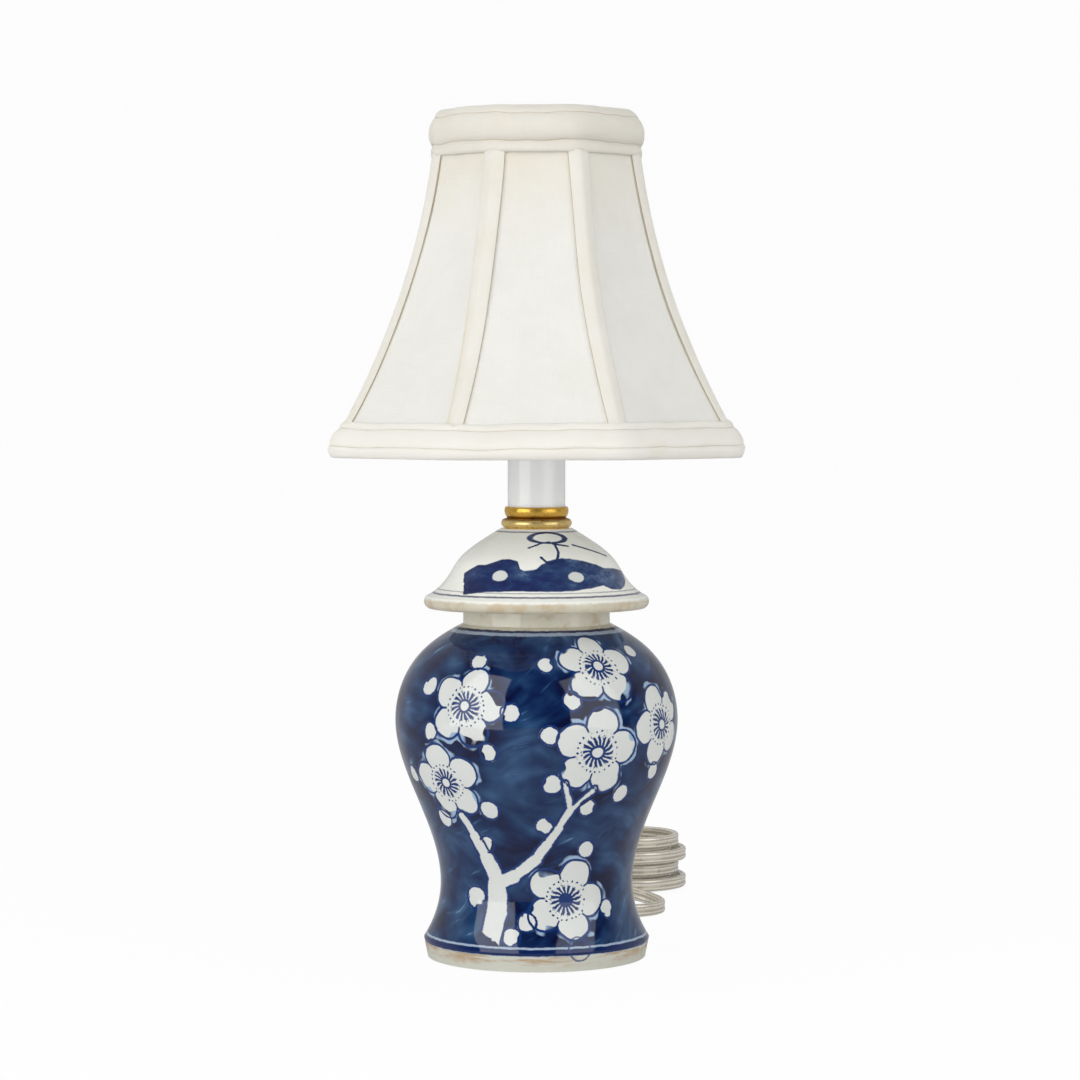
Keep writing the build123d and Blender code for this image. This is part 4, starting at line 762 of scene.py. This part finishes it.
for side in range(8):
    middle = 22.5 + 45 * side
    drift, sway = random.uniform(-0.5, 0.5), random.uniform(0, 6)
    grid = []
    for i in range(49):
        height = band_low + (band_high - band_low) * i / 48
        share = i / 48
        half_width = (6.7 + 1.9 * share) / 2 + 0.25 * math.sin(5 * share + sway)
        shift = drift * math.sin(math.pi * share) + 0.2 * math.sin(9 * share + sway)
        row = []
        for x, proud in tape_section:
            radius = shade_radius(middle, height)
            turn = middle + math.degrees((x * half_width + shift) / radius)
            row.append(polar(turn, shade_radius(turn, height) + proud, height))
        grid.append(row)
    band = skin(f"bias_band_{side + 1}", grid, bias_tape, "shade")
    thick = band.modifiers.new("cloth", "SOLIDIFY")
    thick.thickness = 0.0004
    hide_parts(f"shade_band_{side + 1}")
for side, (panel, cut) in enumerate(panels):
    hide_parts(f"shade_panel_{side + 1}")


# Top and bottom trim: padded tubes of the same cream cloth, sewn by hand round the two rings. Each
# has a puffed roll between stitched creases and a flat tape on the panel side, and turns over the
# ring on to the lining. The stitching wanders and the padding is uneven.
def trim_cloth(name, pale, deep, seams):
    """Trim cloth with a darker line painted along the stitched crease at each of two shares of the way
    round its section.
    """
    material, shader, place, colour, weave, slubs = woven(name, pale, deep, 0.5)
    round_it = place.node("UVMap", uv_map="shares").part("Y")
    soiled = place.grain(0.05, 4.0, 0.6).within(0.55, 0.9) * 0.3
    colour = soiled.tint(colour, ink(224, 208, 168))
    gathers = place.stretched((0.5, 0.5, 0.08)).grain(1.0, 3.0)
    # A darker brown line is painted along each stitched crease, stronger in patches
    seam = abs(round_it - seams[0]).least(abs(round_it - seams[1])).within(0.02, 0.005)
    line_strength = 0.1 + 0.6 * place.grain(0.2, 2.0)
    (seam * line_strength).tint(colour, ink(180, 154, 104)).into(shader, "Base Color")
    (0.4 * weave + slubs + 0.4 * gathers).dent(shader, 0.0005, 0.6)
    return material


bottom_roll = (
    (4.6, -4.7), (2.4, -5.0), (0.8, -4.5), (0.0, -3.2), (0.6, -1.6), (1.8, -0.3), (3.0, 0.9),
    (4.1, 1.5), (4.5, 0.85), (4.9, 1.55), (6.4, 2.2), (8.0, 2.4), (9.5, 2.15), (10.5, 1.6),
    (10.9, 0.85), (11.3, 1.55), (12.4, 1.6), (13.3, 1.0), (13.5, -0.4), (9.5, -0.3), (3.6, -0.2),
    (3.2, -3.4),
)
top_roll = (
    (0.9, -0.4), (0.0, -0.3), (0.4, 1.0), (2.3, 1.3), (4.0, 1.15), (4.6, 0.35), (5.1, 1.3), (6.5, 2.3),
    (8.5, 3.0), (10.5, 3.1), (12.5, 2.6), (14.0, 1.7), (14.5, 0.85), (15.1, 1.2), (16.5, 0.1),
    (17.4, -1.1), (17.7, -2.4), (17.2, -3.8), (15.6, -4.8), (13.2, -5.0), (14.2, -3.6), (14.6, -0.3),
)


def trim(name, roll, cloth, bottom, replaced, phase):
    """A padded ring from the rise and the overhang of its section's points."""
    grid = []
    for rise, proud in roll:
        row = []
        for j in range(240):
            turn = 180 + 360 * j / 240
            round_it = Vector((math.sin(math.radians(turn)), math.cos(math.radians(turn)), phase))
            waver = 0.9 * noise.noise(round_it * 2.3) + 0.45 * noise.noise(round_it * 6.0)
            puff = 1 + 0.25 * noise.noise(round_it * 3.1 + Vector((5, 0, 0)))
            tuck = 0.12 * noise.noise(round_it * 24.0 + Vector((0, 9, rise * 0.3)))
            inside = rise in (roll[0][0], roll[-1][0]) or proud < -2.0
            height = bottom + rise + (0 if inside else waver * min(rise, 3) / 3)
            swell = proud if inside else proud * (puff if proud > 0 else 1) + tuck
            row.append(polar(turn, shade_radius(turn, bottom + rise) + swell, height))
        grid.append(row)
    ring = skin(name, grid, cloth, "shade", round_u=True, round_v=True)
    smooth = ring.modifiers.new("padding", "SUBSURF")
    smooth.levels = smooth.render_levels = 1
    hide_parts(replaced)


# Both trims are the same cloth; the bottom one is painted lighter and the top one darker, as painted
# light and shade
bottom_cloth_painted_light = trim_cloth(
    "bottom_trim_cloth_painted_light", ink(252, 250, 241), ink(248, 245, 234), (8 / 22, 14 / 22)
)
top_cloth_painted_shade = trim_cloth(
    "top_trim_cloth_painted_shade", ink(239, 235, 224), ink(232, 228, 215), (5 / 22, 12 / 22)
)
trim("padded_bottom_trim", bottom_roll, bottom_cloth_painted_light, 186.5, "bottom_trim", 1.0)
trim("padded_top_trim", top_roll, top_cloth_painted_shade, 297.0, "top_trim", 4.0)


# Lamp cord: two stranded conductors side by side in one clear flat jacket, so it looks silver. It
# leaves the bushing, drops to the table and runs behind the jar to the in-line switch; the rest is
# folded into a hank, tied at its waist, with the plug on top.
silver_cord, shader, place = finish_of(
    "silver_cord", Metallic=0.25, Coat_Weight=1.0, Coat_Roughness=0.06, Specular_IOR_Level=0.5
)
threads = place.node("UVMap", uv_map="threads")
shares = place.node("UVMap", uv_map="shares")
round_it = shares.part("X") * (20 * math.pi) + 3.0 * threads.stretched((0.2, 0.04, 1)).grain(1.0, 1.0)
strands = 0.5 + 0.5 * round_it.math("SINE", round_it)
age = place.grain(0.07, 3.0)
colour = strands.tint(ink(170, 160, 138), ink(236, 232, 222))
(0.3 * age).tint(colour, ink(216, 206, 184)).into(shader, "Base Color")
(0.2 + 0.2 * place.grain(0.5, 3.0)).into(shader, "Roughness")
(0.3 * strands + 0.3 * place.grain(0.1, 1.0)).dent(shader, 0.0001)


def smooth_line(route):
    """Places in metres along the spline that a route's points pull."""
    curve = bpy.data.curves.new("route", "CURVE")
    curve.dimensions = "3D"
    curve.resolution_u = 8
    spline = curve.splines.new("NURBS")
    spline.points.add(len(route) - 1)
    for control, (x, y, z) in zip(spline.points, route):
        control.co = (x / 1000, y / 1000, z / 1000, 1)
    spline.order_u = 3
    spline.use_endpoint_u = True
    route_line = bpy.data.objects.new("route", curve)
    bpy.context.scene.collection.objects.link(route_line)
    read = bpy.data.meshes.new_from_object(route_line)
    line = [vertex.co.copy() for vertex in read.vertices]
    bpy.data.objects.remove(route_line)
    bpy.data.curves.remove(curve)
    bpy.data.meshes.remove(read)
    return line


lobe_middle, lobe_radius = 1.33, 1.32
cord_section = []
for lobe in (1, -1):
    for step in range(9):
        angle = math.radians(-30 + 30 * step)
        aside, along = lobe_middle * math.cos(angle), lobe_middle + lobe_radius * math.sin(angle)
        cord_section.append((lobe * aside, lobe * along))


def flat_cord(name, line):
    """The cord's twin section carried along a line, with its broad side upright."""
    rings = []
    for index, place in enumerate(line):
        ahead = line[min(index + 1, len(line) - 1)] - line[max(index - 1, 0)]
        aside = ahead.cross(Vector((0, 0, 1))).normalized()
        tall = aside.cross(ahead).normalized()
        rings.append([place * 1000 + aside * x + tall * y for x, y in cord_section])
    piece = skin(name, rings, silver_cord, "lamp", round_u=True)
    ends = bmesh.new()
    ends.from_mesh(piece.data)
    ends.verts.ensure_lookup_table()
    count = len(cord_section)
    ends.faces.new([ends.verts[i] for i in range(count - 1, -1, -1)])
    ends.faces.new([ends.verts[len(ends.verts) - count + i] for i in range(count)])
    ends.to_mesh(piece.data)
    ends.free()
    return piece


lead_route = (
    (0, 56.5, 28), (0, 66, 27), (3, 76, 21), (11, 84, 12.5), (23, 87, 5.2), (35.5, 86, 2.7),
    (47, 91, 2.7), (52, 102, 2.7), (47.5, 113, 3.6), (37, 117.6, 6), (26.5, 118, 7),
)
lead_line = smooth_line(lead_route)
lead = flat_cord("flat_lead", lead_line)
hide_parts("cord_lead")

main_route = [
    (-12.5, 118, 7), (-18.5, 118, 6.4), (-26, 118.6, 5), (-33.6, 123.4, 3.8), (-36.8, 132, 3.5),
    (-34, 141, 3.5), (-26.5, 146.2, 3.5),
]
hank_x, hank_y, hank_foot = 12.5, 172, 3.5
loops, loops_a_layer, loop_gap, layer_gap = 12, 3, 3.1, 5.8
widest_bend, bend_out, run_out, waist_out, waist_drawn_in = 22.2, 27.5, 26, 6, 8.0
spline_falls_short = 0.9665
side, offset, level = 1, 25.3, hank_foot
for loop in range(loops):
    layer, turn_in = divmod(loop, loops_a_layer)
    radius = widest_bend - loop_gap * (turn_in if layer % 2 == 0 else loops_a_layer - 1 - turn_in)
    height = hank_foot + layer_gap * layer
    waist = hank_y - side * ((offset + radius) / 2 - waist_drawn_in)
    main_route.append((hank_x - side * run_out, hank_y - side * offset, level))
    main_route.append((hank_x - side * waist_out, waist, level + 0.35 * (height - level)))
    main_route.append((hank_x + side * waist_out, waist, level + 0.65 * (height - level)))
    for step in range(7):
        angle = math.radians(-90 + 30 * step)
        reach = radius / spline_falls_short
        out, across = bend_out + reach * math.cos(angle), reach * math.sin(angle)
        main_route.append((hank_x + side * out, hank_y + side * across, height))
    side, offset, level = -side, radius, height
main_route += [
    (-12, 149.8, 20.9), (0, 150.3, 22.4), (10, 153, 27.2), (20, 156.5, 29), (29, 158.5, 28.3),
    (37.2, 163.5, 27.2), (40.5, 172.5, 27), (37.5, 181.5, 27.6), (30.5, 186.6, 29.4),
    (24, 187.8, 30.7), (18.3, 187.6, 31.0),
]
main_line = smooth_line(main_route)
main_cord = flat_cord("flat_cord", main_line)
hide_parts("cord_link", "cord_hank", "cord_tail")


# Switch and plug: pale moulded plastic with a fine spark texture. The switch is two halves held by
# two screws, with a knurled wheel on a post; the plug has two flat nickelled blades.
pale_moulding, shader, place = finish_of("pale_moulding", Specular_IOR_Level=0.4)
spark = place.grain(2.2, 3.0, 0.7)
handled = place.grain(0.12, 3.0).within(0.45, 0.8)
handled.tint(ink(232, 230, 222), ink(218, 212, 196)).into(shader, "Base Color")
(0.36 + 0.2 * spark).into(shader, "Roughness")
spark.dent(shader, 0.00012)
dress(pale_moulding, "switch_base", "switch_cover", "plug_body")
wheel_moulding, shader, place = finish_of("wheel_moulding")
spark = place.grain(2.0, 3.0, 0.7)
spark.tint(ink(196, 190, 174), ink(214, 208, 194)).into(shader, "Base Color")
(0.4 + 0.2 * spark).into(shader, "Roughness")
spark.dent(shader, 0.0001)
dress(wheel_moulding, "switch_wheel")
dress(nickel, "switch_screws", "plug_blades")


# Hank tie: a strip of white plastic with a wire moulded along its middle. It is passed round the
# hank's waist and twisted shut.
tie_plastic, shader, place = finish_of("tie_plastic", Specular_IOR_Level=0.4)
rib = abs(place.part("X") - hank_x).within(0.5, 0.2)
scuff = place.grain(0.6, 3.0)
scuff.tint(ink(236, 235, 230), ink(220, 218, 210)).into(shader, "Base Color")
(0.3 + 0.2 * scuff).into(shader, "Roughness")
(rib + 0.2 * scuff).dent(shader, 0.0004)
dress(tie_plastic, "hank_tie")


# Studio: a pale sheet of board under and behind the lamp, two tall soft boxes at the front and a
# wide overhead light. The board is lit white, keeps a soft shadow and is clear from underneath.
board, shader, place = finish_of("studio_board", Roughness=0.9)
fibre = place.grain(0.4, 3.0)
fibre.tint(ink(238, 238, 238), ink(244, 244, 244)).into(shader, "Base Color")
tree = board.node_tree
ray = tree.nodes.new("ShaderNodeLightPath")
through = Glaze(ray.outputs["Is Transmission Ray"])
mirrored = Glaze(ray.outputs["Is Glossy Ray"]) * (1 - through)
seen = Glaze(ray.outputs["Is Camera Ray"]).most(through).most(mirrored) * 0.95
shade_of_white = mirrored.tint((1, 1, 1, 1), (0.48, 0.48, 0.48, 1))
glow = seen.node("Emission", {"Color": shade_of_white, "Strength": 1.0})
mixed = seen.node("MixShader", {0: seen, 1: Glaze(shader.outputs[0]), 2: glow})
underside = Glaze(tree.nodes.new("ShaderNodeNewGeometry").outputs["Backfacing"])
mixed = mixed.node("MixShader", {0: underside, 1: mixed, 2: mixed.node("BsdfTransparent")})
tree.links.new(mixed.socket, tree.nodes["Material Output"].inputs["Surface"])
sweep = bmesh.new()
bend_from, bend, drop = 1.6, 1.2, 0.0005
profile = [(-4.0, -drop), (bend_from, -drop)]
for angle in (0.3, 0.6, 0.9, 1.2, math.pi / 2):
    profile.append((bend_from + bend * math.sin(angle), bend - drop - bend * math.cos(angle)))
profile.append((bend_from + bend, 5.0))
rows = [[sweep.verts.new((x, y, z)) for x in (-5.0, 5.0)] for y, z in profile]
for low, high in zip(rows, rows[1:]):
    sweep.faces.new((low[0], low[1], high[1], high[0]))
board_mesh = bpy.data.meshes.new("studio_board")
sweep.to_mesh(board_mesh)
sweep.free()
board_mesh.materials.append(board)
board_sheet = bpy.data.objects.new("studio_board", board_mesh)
bpy.context.scene.collection.objects.link(board_sheet)


def soft_box(name, place, target, wide, tall, power):
    """A rectangle of light at a place, turned to a target and out of the camera's sight."""
    light = bpy.data.lights.new(name, "AREA")
    light.shape = "RECTANGLE"
    light.size, light.size_y, light.energy = wide, tall, power
    box = bpy.data.objects.new(name, light)
    box.location = place
    box.rotation_euler = (Vector(target) - Vector(place)).to_track_quat("-Z", "Y").to_euler()
    box.visible_camera = False
    bpy.context.scene.collection.objects.link(box)
    return box


soft_box("left_soft_box", (-0.98, -0.85, 0.98), (0, 0, 0.98), 1.1, 1.9, 15.5)
soft_box("right_soft_box", (0.98, -0.85, 0.98), (0, 0, 0.98), 1.1, 1.9, 10.5)
overhead = soft_box("overhead_light", (0, 0.1, 1.9), (0, 0, 0.1), 1.6, 1.6, 6.0)
overhead.visible_glossy = False
world = bpy.data.worlds.new("studio")
bpy.context.scene.world = world
world.use_nodes = True
back = world.node_tree.nodes["Background"]
ray = world.node_tree.nodes.new("ShaderNodeLightPath")
where = Glaze(world.node_tree.nodes.new("ShaderNodeTexCoord").outputs["Generated"])
behind = where.part("Y").within(-0.2, 0.3)
mirrored = Glaze(ray.outputs["Is Glossy Ray"])
seen = Glaze(ray.outputs["Is Camera Ray"]).most(Glaze(ray.outputs["Is Transmission Ray"]))
room = mirrored.tint((0.44, 0.44, 0.45, 1), behind.tint((0.08, 0.08, 0.09, 1), (0.48, 0.48, 0.48, 1)))
seen.tint(room, (1, 1, 1, 1)).into(back, "Color")

camera = bpy.data.objects.new("camera", bpy.data.cameras.new("camera"))
camera.data.lens = 111.67
camera.data.sensor_width = 36.0
camera.location = (0.0013, -1.25, 0.21)
camera.rotation_euler = (math.radians(90 - 2.495), 0, 0)
camera.data.clip_end = 20.0
bpy.context.scene.collection.objects.link(camera)
bpy.context.scene.camera = camera
bpy.context.scene.view_settings.view_transform = "Standard"
